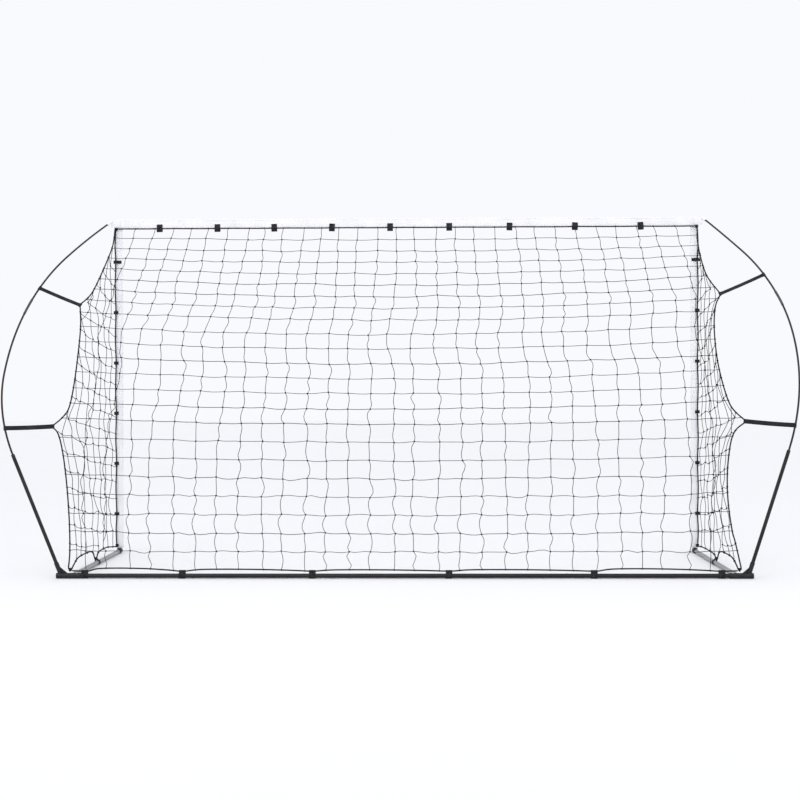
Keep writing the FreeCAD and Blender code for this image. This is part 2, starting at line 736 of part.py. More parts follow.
def tie_neck(name, tube, neck, along):
    feature = doc.addObject("Part::Box", name + "_neck")
    feature.setExpression("Height", "%.3f" % neck.Length)
    bind(feature, Length="4 * Sizes.tie_wall", Width=cell("tie_width"))
    across = along.cross(neck)
    turned = FreeCAD.Rotation(across, along, neck, "ZYX")
    shift = turned.multVec(Vector(-2 * size("tie_wall"), -size("tie_width") / 2, 0))
    feature.Placement = FreeCAD.Placement(tube + shift, turned)
    return feature


def ground_ties():
    ties = []
    for i, x in enumerate(REAR_TIES):
        tube = Vector(x, size("rear_y"), size("axis_z"))
        rope = Vector(x, size("rope_rear_y"), size("rope_low_z"))
        ties.append(tie("rear_tie_%d" % i, tube, rope, Vector(1, 0, 0)))
    for side in (LEFT, RIGHT):
        tube = point(side, size("side_x"), SIDE_TIE, size("axis_z"))
        rope = point(side, size("rope_side_x"), SIDE_TIE, size("rope_low_z"))
        ties.append(tie("side_tie_%d" % (side + 1), tube, rope, Vector(0, 1, 0)))
    group("ground_ties", ties)


def foot_loop(side):
    """Webbing loop round a side bar, its tail under the foot of the post band."""
    name = "foot_loop_%d" % (side + 1)
    back = size("front_y") + size("sleeve_r") - size("foot_length") - 1
    tube = point(side, size("side_x"), back - size("webbing_width"), size("axis_z"))
    half = size("webbing_width") / 2
    low = size("axis_z") + size("bar_r")
    top = size("post_foot") - size("fit_gap")
    forwards = Vector(0, 1, 0)
    riser = box(name + "_riser", cell("webbing_width"), cell("webbing_width"),
                "%.3f" % (top - low), tube + Vector(-half, 0, size("bar_r")))
    tail = box(name + "_tail", cell("webbing_width"), "%.3f" % (size("front_y") + 2 - tube.y),
               cell("webbing"), tube + Vector(-half, 0, top - size("webbing") - size("axis_z")))
    ring = cylinder(name + "_ring", "Sizes.bar_r + Sizes.fit_gap + Sizes.tie_wall",
                    cell("webbing_width"), tube, forwards)
    bar = cylinder(name + "_bar", "Sizes.bar_r + Sizes.fit_gap", "4 * Sizes.webbing_width",
                   tube - forwards * 50, forwards)
    return cut(name, fuse(name + "_solid", [ring, riser, tail]), bar)


def strap_ends(hand, level):
    """Pole point and direction, the strap's run and its width direction."""
    pole, tangent = bow_spot(hand, size("%s_strap_%s" % (hand, level)))
    run = HOLDS[hand][level] - pole
    run.normalize()
    width = tangent - run * tangent.dot(run)
    width.normalize()
    return pole, tangent, run, width


def strap(hand, level):
    """Stitched webbing strap with a loop round the pole and one round the net's rope."""
    name = "web_" + level
    rope_point = HOLDS[hand][level]
    pole, tangent, run, width = strap_ends(hand, level)
    half = size("webbing_width") / 2
    body = doc.addObject("Part::Box", name)
    body.setExpression("Length", "%.3f" % (rope_point - pole).Length)
    bind(body, Width=cell("webbing"), Height=cell("webbing_width"))
    turned = FreeCAD.Rotation(run, width.cross(run), width, "XZY")
    shift = turned.multVec(Vector(0, -size("webbing") / 2, -half))
    body.Placement = FreeCAD.Placement(pole + shift, turned)
    pole_r = "Sizes.pole_r + Sizes.fit_gap"
    rope_r = "Sizes.rope_r + Sizes.rope_gap"
    solid = fuse(name + "_solid", [
        body,
        cylinder(name + "_pole_loop", pole_r + " + Sizes.webbing", cell("webbing_width"),
                 pole - tangent * half, tangent),
        cylinder(name + "_rope_loop", rope_r + " + Sizes.webbing", cell("webbing_width"),
                 rope_point - width * half, width),
    ])
    tools = fuse(name + "_tools", [
        cylinder(name + "_pole", pole_r, "2 * Sizes.webbing_width", pole - tangent * 2 * half,
                 tangent),
        cylinder(name + "_rope", rope_r, "2 * Sizes.webbing_width",
                 rope_point - width * 2 * half, width),
    ])
    place(cut(name + "_strap", solid, tools), "strap_" + level, hand)


# ---------------------------------------------------------------- net
def rope_shape(points):
    """A round rope along straight runs between points, mitred where they meet."""
    radius = size("rope_r")
    run = points[1] - points[0]
    if len(points) == 2:
        return Part.makeCylinder(radius, run.Length, points[0], run)
    spine = Part.makePolygon(points)
    ring = Part.Wire([Part.makeCircle(radius, points[0], run)])
    mitred = 1
    return spine.makePipeShell([ring], True, False, mitred)


def edge_rope(hand):
    """Rear edge of a side panel, pulled outwards where the two straps hold it."""
    half = 0.56 * size("webbing_width")
    top = Vector(-size("rope_post_x") - 1, size("front_y") - 17, size("band_bottom") + 1)
    foot = Vector(-size("rope_post_x") - 4, size("rope_rear_y") + 4, size("rope_low_z") + 13)
    above, between, below = EDGE_RUNS[hand]
    upper = strap_ends(hand, "upper")[3] * half
    lower = strap_ends(hand, "lower")[3] * half
    high = HOLDS[hand]["upper"]
    low = HOLDS[hand]["lower"]
    return [top, *above, high + upper, high - upper, *between, low + lower, low - lower,
            *below, foot]


def sided(name, shape, hand):
    """A free-form sub-part written for the left hand, kept on its own side."""
    feature = doc.addObject("Part::Feature", name)
    feature.Shape = shape
    place(feature, name, hand)


def bottom_rope():
    """Points of the rope over the rear bar, lifted a little between its ties."""
    low = size("rope_low_z")
    rear = size("rope_rear_y")
    end = size("rope_post_x") - 17
    hold = size("tie_width") / 2 + 2
    spots = [Vector(-end, rear, low)]
    for tie_x in REAR_TIES:
        if len(spots) > 1:
            middle = (spots[-1].x + tie_x) / 2
            outer = tie_x in (REAR_TIES[1], REAR_TIES[-1])
            spots.append(Vector(middle, rear + 4, low + (22 if outer else 8)))
        spots += [Vector(tie_x - hold, rear, low), Vector(tie_x + hold, rear, low)]
    return spots + [Vector(end, rear, low)]


def side_rope():
    """Points of the rope over the left side bar."""
    low = size("rope_low_z")
    side = size("rope_side_x")
    hold = size("tie_width") / 2 + 2
    return [
        Vector(-side, size("rope_rear_y") + 22, low + 2), Vector(-side - 4, -270, low + 60),
        Vector(-side, SIDE_TIE - hold, low), Vector(-side, SIDE_TIE + hold, low),
        Vector(-side, size("front_y") - size("rope_back") - 12, low + 4),
    ]


def border_ropes():
    """The eight ropes along the net's borders."""
    back = size("front_y") - size("rope_back")
    top = size("band_bottom")
    post = size("rope_post_x")
    soft("net_rope_top", rope_shape([Vector(-post + 10, back, top), Vector(post - 10, back, top)]))
    soft("net_rope_bottom", rope_shape(bottom_rope()))
    for hand in HANDS:
        sided("net_rope_post", rope_shape([
            Vector(-post, back, size("rope_low_z") + 14), Vector(-post, back, top - 12)]), hand)
        sided("net_rope_edge", rope_shape(edge_rope(hand)), hand)
        sided("net_rope_side", rope_shape(side_rope()), hand)


def panel(corners, gap):
    """A thin flat panel through its corners, drawn in by a gap on every edge."""
    middle = Vector(0, 0, 0)
    for corner in corners:
        middle = middle + corner * (1.0 / len(corners))
    drawn = [corner - (corner - middle).normalize() * gap for corner in corners]
    face = Part.Face(Part.makePolygon(drawn + [drawn[0]]))
    normal = face.normalAt(0, 0)
    face.translate(normal * (-size("net_thick") / 2))
    return face.extrude(normal * size("net_thick"))


def rear_net():
    """The back of the net as three flat panels, one below the other."""
    levels = (
        (size("front_y") - 20, size("band_bottom") - 8),
        (-50, 1500), (-450, 830), (size("rope_rear_y") + 14, size("rope_low_z") + 40),
    )
    rows = [(Vector(-left, y, z), Vector(right, y, z)) for (y, z), left, right
            in zip(levels, REAR_HALF_WIDTHS["left"], REAR_HALF_WIDTHS["right"])]
    panels = [panel([above[0], above[1], below[1], below[0]], 2)
              for above, below in zip(rows, rows[1:])]
    soft("net_rear", Part.makeCompound(panels))


def side_net(hand):
    """One side of the net as a fan of flat panels round the foot of the post."""
    middle, dip = PANEL_EDGE[hand]
    foot = Vector(-1872, size("front_y") - 24, 140)
    edge = [
        Vector(-1875, size("front_y") - 32, 2080), HOLDS[hand]["upper"] + Vector(12, 14, -12),
        middle, HOLDS[hand]["lower"] + Vector(16, 16, 0), dip, Vector(-1870, -505, 140),
    ]
    panels = [panel([above, below, foot], 6) for above, below in zip(edge, edge[1:])]
    sided("net_side", Part.makeCompound(panels), hand)


# ---------------------------------------------------------------- snap buttons
def snap_button(name, axis, flange, top):
    """A domed stud with a flange that stays inside the inner tube."""
    under = size(flange)
    over = under + size("flange_thick")
    crown = size(top)
    stud = size("stud_r")
    body = doc.addObject("PartDesign::Body", name)
    sketch = new_sketch(body, name + "_profile", "XZ_Plane")
    spots = [
        (0, under, None, cell(flange)),
        (size("flange_r"), under, cell("flange_r"), cell(flange)),
        (size("flange_r"), over, cell("flange_r"), "%s + Sizes.flange_thick" % cell(flange)),
        (stud, over, cell("stud_r"), "%s + Sizes.flange_thick" % cell(flange)),
        (stud, crown - 2, cell("stud_r"), "%s - 2" % cell(top)),
        (0.78 * stud, crown - 0.7, "0.78 * Sizes.stud_r", "%s - 0.7" % cell(top)),
        (0.4 * stud, crown - 0.1, "0.4 * Sizes.stud_r", "%s - 0.1" % cell(top)),
        (0, crown, None, cell(top)),
    ]
    count = len(spots)
    for i in range(count):
        x0, z0 = spots[i][:2]
        x1, z1 = spots[(i + 1) % count][:2]
        sketch.addGeometry(Part.LineSegment(Vector(x0, z0, 0), Vector(x1, z1, 0)), False)
    for i in range(count):
        sketch.addConstraint(Sketcher.Constraint("Coincident", i, 2, (i + 1) % count, 1))
    for i, (x, z, across, up) in enumerate(spots):
        if across:
            index = sketch.addConstraint(Sketcher.Constraint("DistanceX", -1, 1, i, 1, x))
            sketch.setExpression("Constraints[%d]" % index, across)
        else:
            sketch.addConstraint(Sketcher.Constraint("PointOnObject", i, 1, -2))
        index = sketch.addConstraint(Sketcher.Constraint("DistanceY", -1, 1, i, 1, z))
        sketch.setExpression("Constraints[%d]" % index, up)
    revolution = body.newObject("PartDesign::Revolution", name + "_turned")
    revolution.Profile = sketch
    revolution.ReferenceAxis = (sketch, ["V_Axis"])
    revolution.Angle = 360
    body.Tip = revolution
    body.Placement.Base = axis
    keep(body, name)


def snap_spring(name, axis, flange, drop, along):
    """A V of spring strip: one leg under the button, the other on the tube's floor."""
    gap = 0.1
    height = size(flange) + size(drop) - gap
    strip = size("strip")
    reach = size("strip_length")
    flat = size("strip_flat")
    inner = size("strip_inner")
    outline_points = (
        (0, height), (flat, height), (reach, height / 2 + strip), (reach, height / 2 - strip),
        (flat, 0), (0, 0), (0, strip), (flat, strip), (inner, height / 2),
        (flat, height - strip), (0, height - strip),
    )
    edge = [Vector(x - flat / 2, -size("strip_width") / 2, z - size(drop))
            for x, z in outline_points]
    shape = Part.Face(Part.makePolygon(edge + edge[:1])).extrude(Vector(0, size("strip_width"), 0))
    feature = doc.addObject("Part::Feature", name)
    feature.Shape = shape
    heading = math.degrees(math.atan2(along.y, along.x))
    feature.Placement = FreeCAD.Placement(axis, turn(UP, heading))
    return feature


def snap_buttons():
    rear = size("rear_y")
    axis = size("axis_z")
    length = size("bar_length")
    hole = size("male_hole")
    side_y = rear + size("side_start") + size("side_hole_z")
    corner = size("corner_hole_x")
    side = size("side_x")
    spots = (
        ("rear_left", Vector(-length + hole, rear, axis), False, Vector(-1, 0, 0)),
        ("rear_centre", Vector(hole, rear, axis), False, Vector(-1, 0, 0)),
        ("rear_right", Vector(length - hole, rear, axis), False, Vector(1, 0, 0)),
        ("corner_left", Vector(-corner, rear, axis), True, Vector(1, 0, 0)),
        ("corner_right", Vector(corner, rear, axis), True, Vector(-1, 0, 0)),
        ("side_left", Vector(-side, side_y, axis), False, Vector(0, 1, 0)),
        ("side_right", Vector(side, side_y, axis), False, Vector(0, 1, 0)),
    )
    springs = []
    for name, spot, full_tube, along in spots:
        flange = "flange_high" if full_tube else "flange_low"
        drop = "drop_high" if full_tube else "drop_low"
        top = "top_sleeve" if full_tube else "top_tube"
        snap_button("snap_button_" + name, spot, flange, top)
        springs.append(snap_spring("snap_spring_" + name, spot, flange, drop, along))
    group("snap_springs", springs)


# ---------------------------------------------------------------- build, check, export
def check_features():
    for feature in doc.Objects:
        if "Invalid" in feature.State or "Error" in feature.State:
            raise RuntimeError("%s is %s" % (feature.Name, feature.State))
        if feature.TypeId == "PartDesign::Pocket":
            if feature.Shape.Volume >= feature.BaseFeature.Shape.Volume - 1:
                raise RuntimeError("%s removes nothing" % feature.Name)
    for feature in subparts:
        shape = feature.Shape
        if shape.isNull() or not shape.isValid() or shape.Volume <= 0:
            raise RuntimeError("%s has no valid solid" % feature.Label)


def export_parts():
    os.makedirs("parts", exist_ok=True)
    for feature in subparts:
        feature.Shape.exportStep("parts/%s.step" % feature.Label)


fill_sheet()
rear_bar()
side_bar()
connector_cap()
front_foot()
for hand in HANDS:
    corner_connector(hand)
    lower_tube(hand)
    pole_reducer(hand)
    poles(hand)
    pole_ferrule(hand)
    pole_tip(hand)
    corner_pocket(hand)
    strap(hand, "upper")
    strap(hand, "lower")
bands()
crossbar_tabs()
post_tabs()
ground_ties()
group("foot_loops", [foot_loop(LEFT), foot_loop(RIGHT)])
border_ropes()
rear_net()
for hand in HANDS:
    side_net(hand)
snap_buttons()
doc.recompute()
check_features()
export_parts()
print("sub-parts:", len(subparts))
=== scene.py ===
"""Looks of the hockey goal net: ropes, knotted net, bands, webbing, painted tubes."""

import math

import bpy
import numpy as np
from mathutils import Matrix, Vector


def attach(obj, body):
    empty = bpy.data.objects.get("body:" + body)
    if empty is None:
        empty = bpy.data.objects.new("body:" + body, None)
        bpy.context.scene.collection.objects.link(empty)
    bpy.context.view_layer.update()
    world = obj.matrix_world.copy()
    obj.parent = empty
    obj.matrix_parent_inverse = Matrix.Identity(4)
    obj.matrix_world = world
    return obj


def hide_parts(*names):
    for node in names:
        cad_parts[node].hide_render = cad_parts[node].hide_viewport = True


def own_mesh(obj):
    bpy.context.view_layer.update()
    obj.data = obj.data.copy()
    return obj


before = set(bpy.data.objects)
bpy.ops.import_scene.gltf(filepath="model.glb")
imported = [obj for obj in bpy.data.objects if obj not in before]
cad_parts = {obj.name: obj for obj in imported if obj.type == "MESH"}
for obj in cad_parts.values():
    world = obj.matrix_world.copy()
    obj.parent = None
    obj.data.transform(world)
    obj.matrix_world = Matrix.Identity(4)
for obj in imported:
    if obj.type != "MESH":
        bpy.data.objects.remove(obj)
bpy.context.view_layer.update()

LEFT, RIGHT = -1, 1
NAMES = {LEFT: "left", RIGHT: "right"}
UP = np.array([0.0, 0.0, 1.0])
ALONG = np.array([1.0, 0.0, 0.0])
FORWARD = np.array([0.0, 1.0, 0.0])
random = np.random.default_rng(41)


# ---------------------------------------------------------------- vectors and paths
def unit(vector):
    vector = np.asarray(vector, float)
    return vector / np.linalg.norm(vector)


def unit_rows(rows):
    return rows / np.maximum(np.linalg.norm(rows, axis=1), 1e-9)[:, None]


def mirror(points, side):
    """Points of the left half, or of the right half when side is RIGHT."""
    return np.asarray(points, float) * np.array([-side, 1.0, 1.0])


def smooth(points, step):
    """A Catmull-Rom curve through the points, sampled about every step."""
    points = np.asarray(points, float)
    ends = np.vstack([2 * points[0] - points[1], points, 2 * points[-1] - points[-2]])
    line = []
    for i in range(1, len(ends) - 2):
        a, b, c, d = ends[i - 1:i + 3]
        count = max(2, int(math.ceil(np.linalg.norm(c - b) / step)))
        t = np.linspace(0, 1, count, endpoint=False)[:, None]
        line.append(0.5 * (2 * b + (c - a) * t + (2 * a - 5 * b + 4 * c - d) * t ** 2
                           + (3 * b - a - 3 * c + d) * t ** 3))
    return np.vstack(line + [points[-1:]])


def lengths(path):
    """Distance along the path at each of its points."""
    return np.concatenate([[0], np.cumsum(np.linalg.norm(np.diff(path, axis=0), axis=1))])


def tangents(path):
    return unit_rows(np.gradient(path, axis=0))


def carried(path, first=None):
    """Side vectors carried along a path without twist."""
    along = tangents(path)
    if first is None:
        first = np.eye(3)[np.argmin(np.abs(along[0]))]
    sides = np.empty_like(path)
    side = np.asarray(first, float)
    for i, tangent in enumerate(along):
        side = unit(side - tangent * np.dot(side, tangent))
        sides[i] = side
    return sides


def squared(path, width):
    """Side vectors that keep to a fixed width direction."""
    along = tangents(path)
    return unit_rows(width - along * (along @ width)[:, None])


# ---------------------------------------------------------------- bow line, as in the design
# a bow is a straight tube and then four arcs of one length
BOW_FOOT = np.array([-1.916, -0.55, 0.015])
TUBE_TOP = 0.7238
ARC = 0.4913
POLE_END = 4 * ARC
# lean and swing in degrees, then the radii of the four arcs
BOWS = {LEFT: (21.77, 53.77, (0.792, 1.788, 1.917, 5.498)),
        RIGHT: (17.73, 59.03, (1.018, 1.245, 1.902, 15.0))}


def bow(side, distance):
    """Point and direction on a bow, a distance past the top of its straight tube."""
    lean, swing, radii = BOWS[side]
    lean, swing = math.radians(lean), math.radians(swing)
    up = np.array([-math.sin(lean), 0, math.cos(lean)])
    inwards = (np.array([math.cos(lean), 0, math.sin(lean)]) * math.cos(swing)
               + FORWARD * math.sin(swing))
    spot = np.array([TUBE_TOP + min(distance, 0.0), 0.0])
    heading = 0.0
    left = max(distance, 0.0)
    for radius in radii:
        turned = heading + min(left, ARC) / radius
        spot = spot + radius * np.array([math.sin(turned) - math.sin(heading),
                                         math.cos(heading) - math.cos(turned)])
        heading = turned
        left = max(left - ARC, 0.0)
    direction = up * math.cos(heading) + inwards * math.sin(heading)
    place = BOW_FOOT + up * spot[0] + inwards * spot[1]
    return mirror(place, side), mirror(direction, side)


# ---------------------------------------------------------------- meshes
class Bag:
    """Collects swept shapes into one mesh, with UVs in metres: around, along."""

    def __init__(self):
        self.points, self.faces, self.uvs, self.count = [], [], [], 0

    def add(self, points, faces, uvs):
        self.points.append(points)
        self.faces.extend((np.asarray(faces) + self.count).tolist())
        self.uvs.append(np.asarray(uvs).reshape(-1, 2))
        self.count += len(points)

    def rings(self, rings, closed=False):
        """Quads between rings of points; rings is an array of rows x around x 3."""
        rows, around = rings.shape[:2]
        if closed:
            rings = np.concatenate([rings, rings[:1]])
            rows += 1
        i, j = np.meshgrid(np.arange(rows - 1), np.arange(around), indexing="ij")
        after = (j + 1) % around
        faces = np.stack([i * around + j, i * around + after, (i + 1) * around + after,
                          (i + 1) * around + j], -1).reshape(-1, 4)
        first = np.vstack([rings[0], rings[0][:1]])
        u = lengths(first)
        v = lengths(rings.mean(axis=1))
        uvs = np.stack([np.stack([u[j], v[i]], -1), np.stack([u[j + 1], v[i]], -1),
                        np.stack([u[j + 1], v[i + 1]], -1), np.stack([u[j], v[i + 1]], -1)], 2)
        if closed:
            faces %= (rows - 1) * around
            rings = rings[:-1]
        self.add(rings.reshape(-1, 3), faces, uvs)
        if not closed:
            base = self.count - len(rings) * around
            last = self.count - around
            self.faces.append([base + k for k in range(around)][::-1])
            self.faces.append([last + k for k in range(around)])
            self.uvs.append(np.full((2 * around, 2), (0.0, v[-1])))

    def sweep(self, path, section, sides, scale=None):
        """Sweeps a flat section, given across and up, along a path."""
        path = np.asarray(path, float)
        ups = np.cross(tangents(path), sides)
        if scale is None:
            scale = np.ones(len(path))
        rings = (path[:, None] + scale[:, None, None]
                 * (sides[:, None] * section[None, :, :1] + ups[:, None] * section[None, :, 1:]))
        self.rings(rings)

    def tube(self, path, radius, around):
        path = np.asarray(path, float)
        self.sweep(path, circle(radius, around), carried(path))

    def strip(self, path, width, thick, across):
        """A flat webbing strip, width across the given direction."""
        path = np.asarray(path, float)
        self.sweep(path, flat_section(width, thick), squared(path, unit(across)))

    def piece(self, name, slot, node=None):
        """Makes the object that stands for a design node, by default the one of its name."""
        return self.build(name + "_detail", slot, PAINTS[slot], node or name)

    def build(self, name, slot, material, node=None):
        """Makes an object that rides on the goal."""
        mesh = bpy.data.meshes.new(name)
        mesh.from_pydata(np.vstack(self.points).tolist(), [], self.faces)
        layer = mesh.uv_layers.new(name="UVMap")
        layer.data.foreach_set("uv", np.vstack(self.uvs).ravel())
        mesh.polygons.foreach_set("use_smooth", [True] * len(mesh.polygons))
        mesh.update()
        piece = bpy.data.objects.new(name, mesh)
        bpy.context.scene.collection.objects.link(piece)
        mesh.materials.append(material)
        if node:
            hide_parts(node)
        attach(piece, "goal")
        return piece


def circle(radius, around):
    turn = np.linspace(0, 2 * math.pi, around, endpoint=False)
    return radius * np.stack([np.cos(turn), np.sin(turn)], -1)


def flat_section(width, thick, across=7):
    """A flat rectangle with rounded edges, as points round its outline."""
    half, rise = width / 2, thick / 2
    top = np.linspace(half - rise, rise - half, across)
    face = np.stack([top, np.full(across, rise)], -1)
    shoulder = -half + 0.3 * rise
    edge = np.array([[shoulder, 0.72 * rise], [-half, 0], [shoulder, -0.72 * rise]])
    return np.vstack([face, edge, -face, -edge])


TREFOIL_TURN = np.linspace(0, 2 * math.pi, 16, endpoint=False)
TREFOIL = np.stack([np.sin(TREFOIL_TURN) + 2 * np.sin(2 * TREFOIL_TURN),
                    np.cos(TREFOIL_TURN) - 2 * np.cos(2 * TREFOIL_TURN),
                    -np.sin(3 * TREFOIL_TURN)], -1)


def loop_rings(path, radius, around):
    """Rings of points round a closed loop of twine."""
    along = unit_rows(np.roll(path, -1, axis=0) - np.roll(path, 1, axis=0))
    centre = path.mean(axis=0)
    out = path - centre
    out = unit_rows(out - along * np.sum(out * along, axis=1)[:, None])
    up = np.cross(along, out)
    section = circle(radius, around)
    return path[:, None] + out[:, None] * section[None, :, :1] + up[:, None] * section[None, :, 1:]


TWINE = 0.00175
KNOT_SIZE = 0.0015
KNOT_TWINE = 0.0017
HITCH_RADIUS = 0.0052
HITCH_LIFT = 0.0012
KNOT = loop_rings(TREFOIL * KNOT_SIZE, KNOT_TWINE, 5)


def knot(bag, spot):
    """A small overhand knot, turned at random."""
    turn = random.uniform(0, 2 * math.pi)
    lean = random.uniform(-0.5, 0.5)
    spin = np.array([[math.cos(turn), 0, math.sin(turn)], [0, 1, 0],
                     [-math.sin(turn), 0, math.cos(turn)]])
    tip = np.array([[1, 0, 0], [0, math.cos(lean), -math.sin(lean)],
                    [0, math.sin(lean), math.cos(lean)]])
    face = np.array([[1, 0, 0], [0, 0, 1], [0, 1, 0]])
    bag.rings(KNOT @ (spin @ tip @ face).T + spot, closed=True)


def hitch(bag, spot, along):
    """A turn of twine round a border rope."""
    along = unit(along)
    side = unit(np.cross(along, [0.3, 0.5, 0.8]))
    turn = np.linspace(0, 2 * math.pi, 10, endpoint=False)[:, None]
    path = spot + HITCH_RADIUS * (np.cos(turn) * side + np.sin(turn) * np.cross(along, side))
    path = path + along * HITCH_LIFT * np.sin(turn)
    bag.rings(loop_rings(path, TWINE, 4), closed=True)


# pitch, length and thickness of a fine stitch, and the corners of a stitched box in order
FINE_STITCH = (0.0036, 0.0022, 0.0003)
STITCHED_BOX = ((-1, -1), (1, -1), (1, 1), (-1, 1), (-1, -1), (1, 1), (1, -1), (-1, 1))


def stitches(bag, path, normal, pitch=0.0062, long=0.0036, thick=0.0005):
    """A row of stitches lying on a surface."""
    path = np.asarray(path, float)
    run = lengths(path)
    for start in np.arange(pitch / 2, run[-1] - long, pitch):
        t = np.linspace(start, start + long, 3)
        row = np.stack([np.interp(t, run, path[:, k]) for k in range(3)], -1)
        row[1] += unit(normal) * thick * 0.6
        bag.tube(row, thick, around=4)


def stitched_box(thread, centre, one, other, normal):
    """A box of fine stitches with a cross in it; one and other are half its sides."""
    spots = [centre + a * one + b * other for a, b in STITCHED_BOX]
    for start, end in zip(spots, spots[1:]):
        stitches(thread, [start, end], normal, *FINE_STITCH)


# ---------------------------------------------------------------- materials
SOCKETS = {"metal": "Metallic", "coat": "Coat Weight", "coat_rough": "Coat Roughness",
           "sheen": "Sheen Weight", "sheen_rough": "Sheen Roughness",
           "specular": "Specular IOR Level", "thin": "Subsurface Weight"}


class Finish:
    """A node material: colour, roughness and bump from procedural patterns."""

    def __init__(self, name, **numbers):
        self.material = bpy.data.materials.new(name)
        self.material.use_nodes = True
        self.nodes = self.material.node_tree.nodes
        self.links = self.material.node_tree.links
        self.shader = self.nodes["Principled BSDF"]
        self.normal = None
        for key, value in numbers.items():
            self.shader.inputs[SOCKETS[key]].default_value = value
        self.place = self.nodes.new("ShaderNodeTexCoord")

    def noise(self, scale, detail, stretch=(1, 1, 1)):
        """A noise pattern; stretch draws it out along an axis."""
        mapping = self.nodes.new("ShaderNodeMapping")
        mapping.inputs["Scale"].default_value = stretch
        self.links.new(self.place.outputs["Object"], mapping.inputs["Vector"])
        noise = self.nodes.new("ShaderNodeTexNoise")
        noise.inputs["Scale"].default_value = scale
        noise.inputs["Detail"].default_value = detail
        self.links.new(mapping.outputs["Vector"], noise.inputs["Vector"])
        return noise.outputs["Fac"]

    def math(self, operation, first, second=0.0):
        node = self.nodes.new("ShaderNodeMath")
        node.operation = operation
        for socket, value in zip(node.inputs, (first, second)):
            if hasattr(value, "is_output"):
                self.links.new(value, socket)
            else:
                socket.default_value = value
        return node.outputs[0]

    def wave(self, across, along):
        """A sine ridge pattern over the UVs, with pitches in metres; 0 leaves one out."""
        split = self.nodes.new("ShaderNodeSeparateXYZ")
        self.links.new(self.place.outputs["UV"], split.inputs[0])
        phase = None
        for output, pitch in ((split.outputs[0], across), (split.outputs[1], along)):
            if pitch:
                part = self.math("MULTIPLY", output, 2 * math.pi / pitch)
                phase = part if phase is None else self.math("ADD", phase, part)
        return self.math("SINE", phase)

    def weave(self, across, along):
        """Over-and-under threads."""
        return self.math("MULTIPLY", self.wave(across, 0), self.wave(0, along))

    def braid(self, across, along):
        """Strands that cross on the slant."""
        return self.math("MAXIMUM", self.wave(across, along), self.wave(across, -along))

    def colour(self, pattern, dark, light, low=0.3, high=0.7):
        ramp = self.nodes.new("ShaderNodeValToRGB")
        for element, place, tint in zip(ramp.color_ramp.elements, (low, high), (dark, light)):
            element.position = place
            element.color = (*tint, 1)
        self.links.new(pattern, ramp.inputs[0])
        self.links.new(ramp.outputs[0], self.shader.inputs["Base Color"])

    def rough(self, pattern, low, high):
        spread = self.nodes.new("ShaderNodeMapRange")
        spread.inputs["To Min"].default_value = low
        spread.inputs["To Max"].default_value = high
        self.links.new(pattern, spread.inputs[0])
        self.links.new(spread.outputs[0], self.shader.inputs["Roughness"])

    def bump(self, pattern, depth, strength):
        node = self.nodes.new("ShaderNodeBump")
        node.inputs["Distance"].default_value = depth
        node.inputs["Strength"].default_value = strength
        self.links.new(pattern, node.inputs["Height"])
        if self.normal:
            self.links.new(self.normal, node.inputs["Normal"])
        self.normal = node.outputs[0]
        self.links.new(self.normal, self.shader.inputs["Normal"])


def paint(name, dark, light, stretch, low=0.28, high=0.5):
    """Powder coat: fine orange peel, long handling streaks and faint rubbed patches."""
    finish = Finish(name, coat=0.06, coat_rough=0.3, specular=0.3)
    streaks = finish.noise(42, 5, stretch)
    finish.colour(streaks, dark, light, 0.42, 0.78)
    finish.rough(finish.noise(9, 4, stretch), low, high)
    finish.bump(finish.noise(900, 2), 0.00012, 0.5)
    finish.bump(streaks, 0.00008, 0.35)
    return finish.material


def fibreglass():
    finish = Finish("pulled fibreglass", coat=0.12, coat_rough=0.25, specular=0.3)
    fibres = finish.noise(70, 6, (1, 1, 0.18))
    finish.colour(fibres, (0.004, 0.004, 0.005), (0.018, 0.015, 0.016), 0.4, 0.75)
    finish.rough(finish.noise(14, 4), 0.3, 0.5)
    finish.bump(fibres, 0.00012, 0.5)
    return finish.material


def steel(name, tone):
    finish = Finish(name, metal=1.0)
    grain = finish.noise(220, 5, (1, 1, 0.2))
    finish.colour(grain, tuple(0.62 * c for c in tone), tone, 0.35, 0.65)
    finish.rough(finish.noise(60, 4), 0.2, 0.42)
    finish.bump(grain, 0.00004, 0.5)
    return finish.material


def plastic():
    finish = Finish("moulded plastic", specular=0.45)
    grain = finish.noise(1400, 2)
    finish.colour(finish.noise(25, 4), (0.010, 0.010, 0.011), (0.026, 0.026, 0.028))
    finish.rough(finish.noise(18, 3), 0.42, 0.62)
    finish.bump(grain, 0.0001, 0.6)
    return finish.material


def white_fabric():
    finish = Finish("white woven polyester", sheen=0.3, sheen_rough=0.5, thin=0.15)
    threads = finish.weave(0.0011, 0.0011)
    finish.shader.inputs["Subsurface Radius"].default_value = (0.004, 0.004, 0.004)
    cloudy = finish.math("ADD", finish.math("MULTIPLY", finish.noise(7, 4), 0.8),
                         finish.math("MULTIPLY", threads, 0.06))
    finish.colour(cloudy, (0.80, 0.79, 0.83), (0.93, 0.915, 0.94), 0.25, 0.6)
    finish.rough(finish.noise(40, 3), 0.7, 0.9)
    finish.bump(finish.noise(28, 3), 0.0012, 0.5)
    finish.bump(threads, 0.00012, 0.8)
    return finish.material


def webbing():
    finish = Finish("woven webbing", sheen=0.04, sheen_rough=0.4, specular=0.2)
    ribs = finish.weave(0.0021, 0.0016)
    mixed = finish.math("ADD", finish.math("MULTIPLY", ribs, 0.3), finish.noise(30, 4))
    finish.colour(mixed, (0.006, 0.006, 0.007), (0.030, 0.030, 0.033), 0.2, 0.9)
    finish.rough(finish.noise(90, 3), 0.6, 0.85)
    finish.bump(finish.noise(420, 3), 0.0001, 0.5)
    finish.bump(ribs, 0.0003, 0.9)
    return finish.material


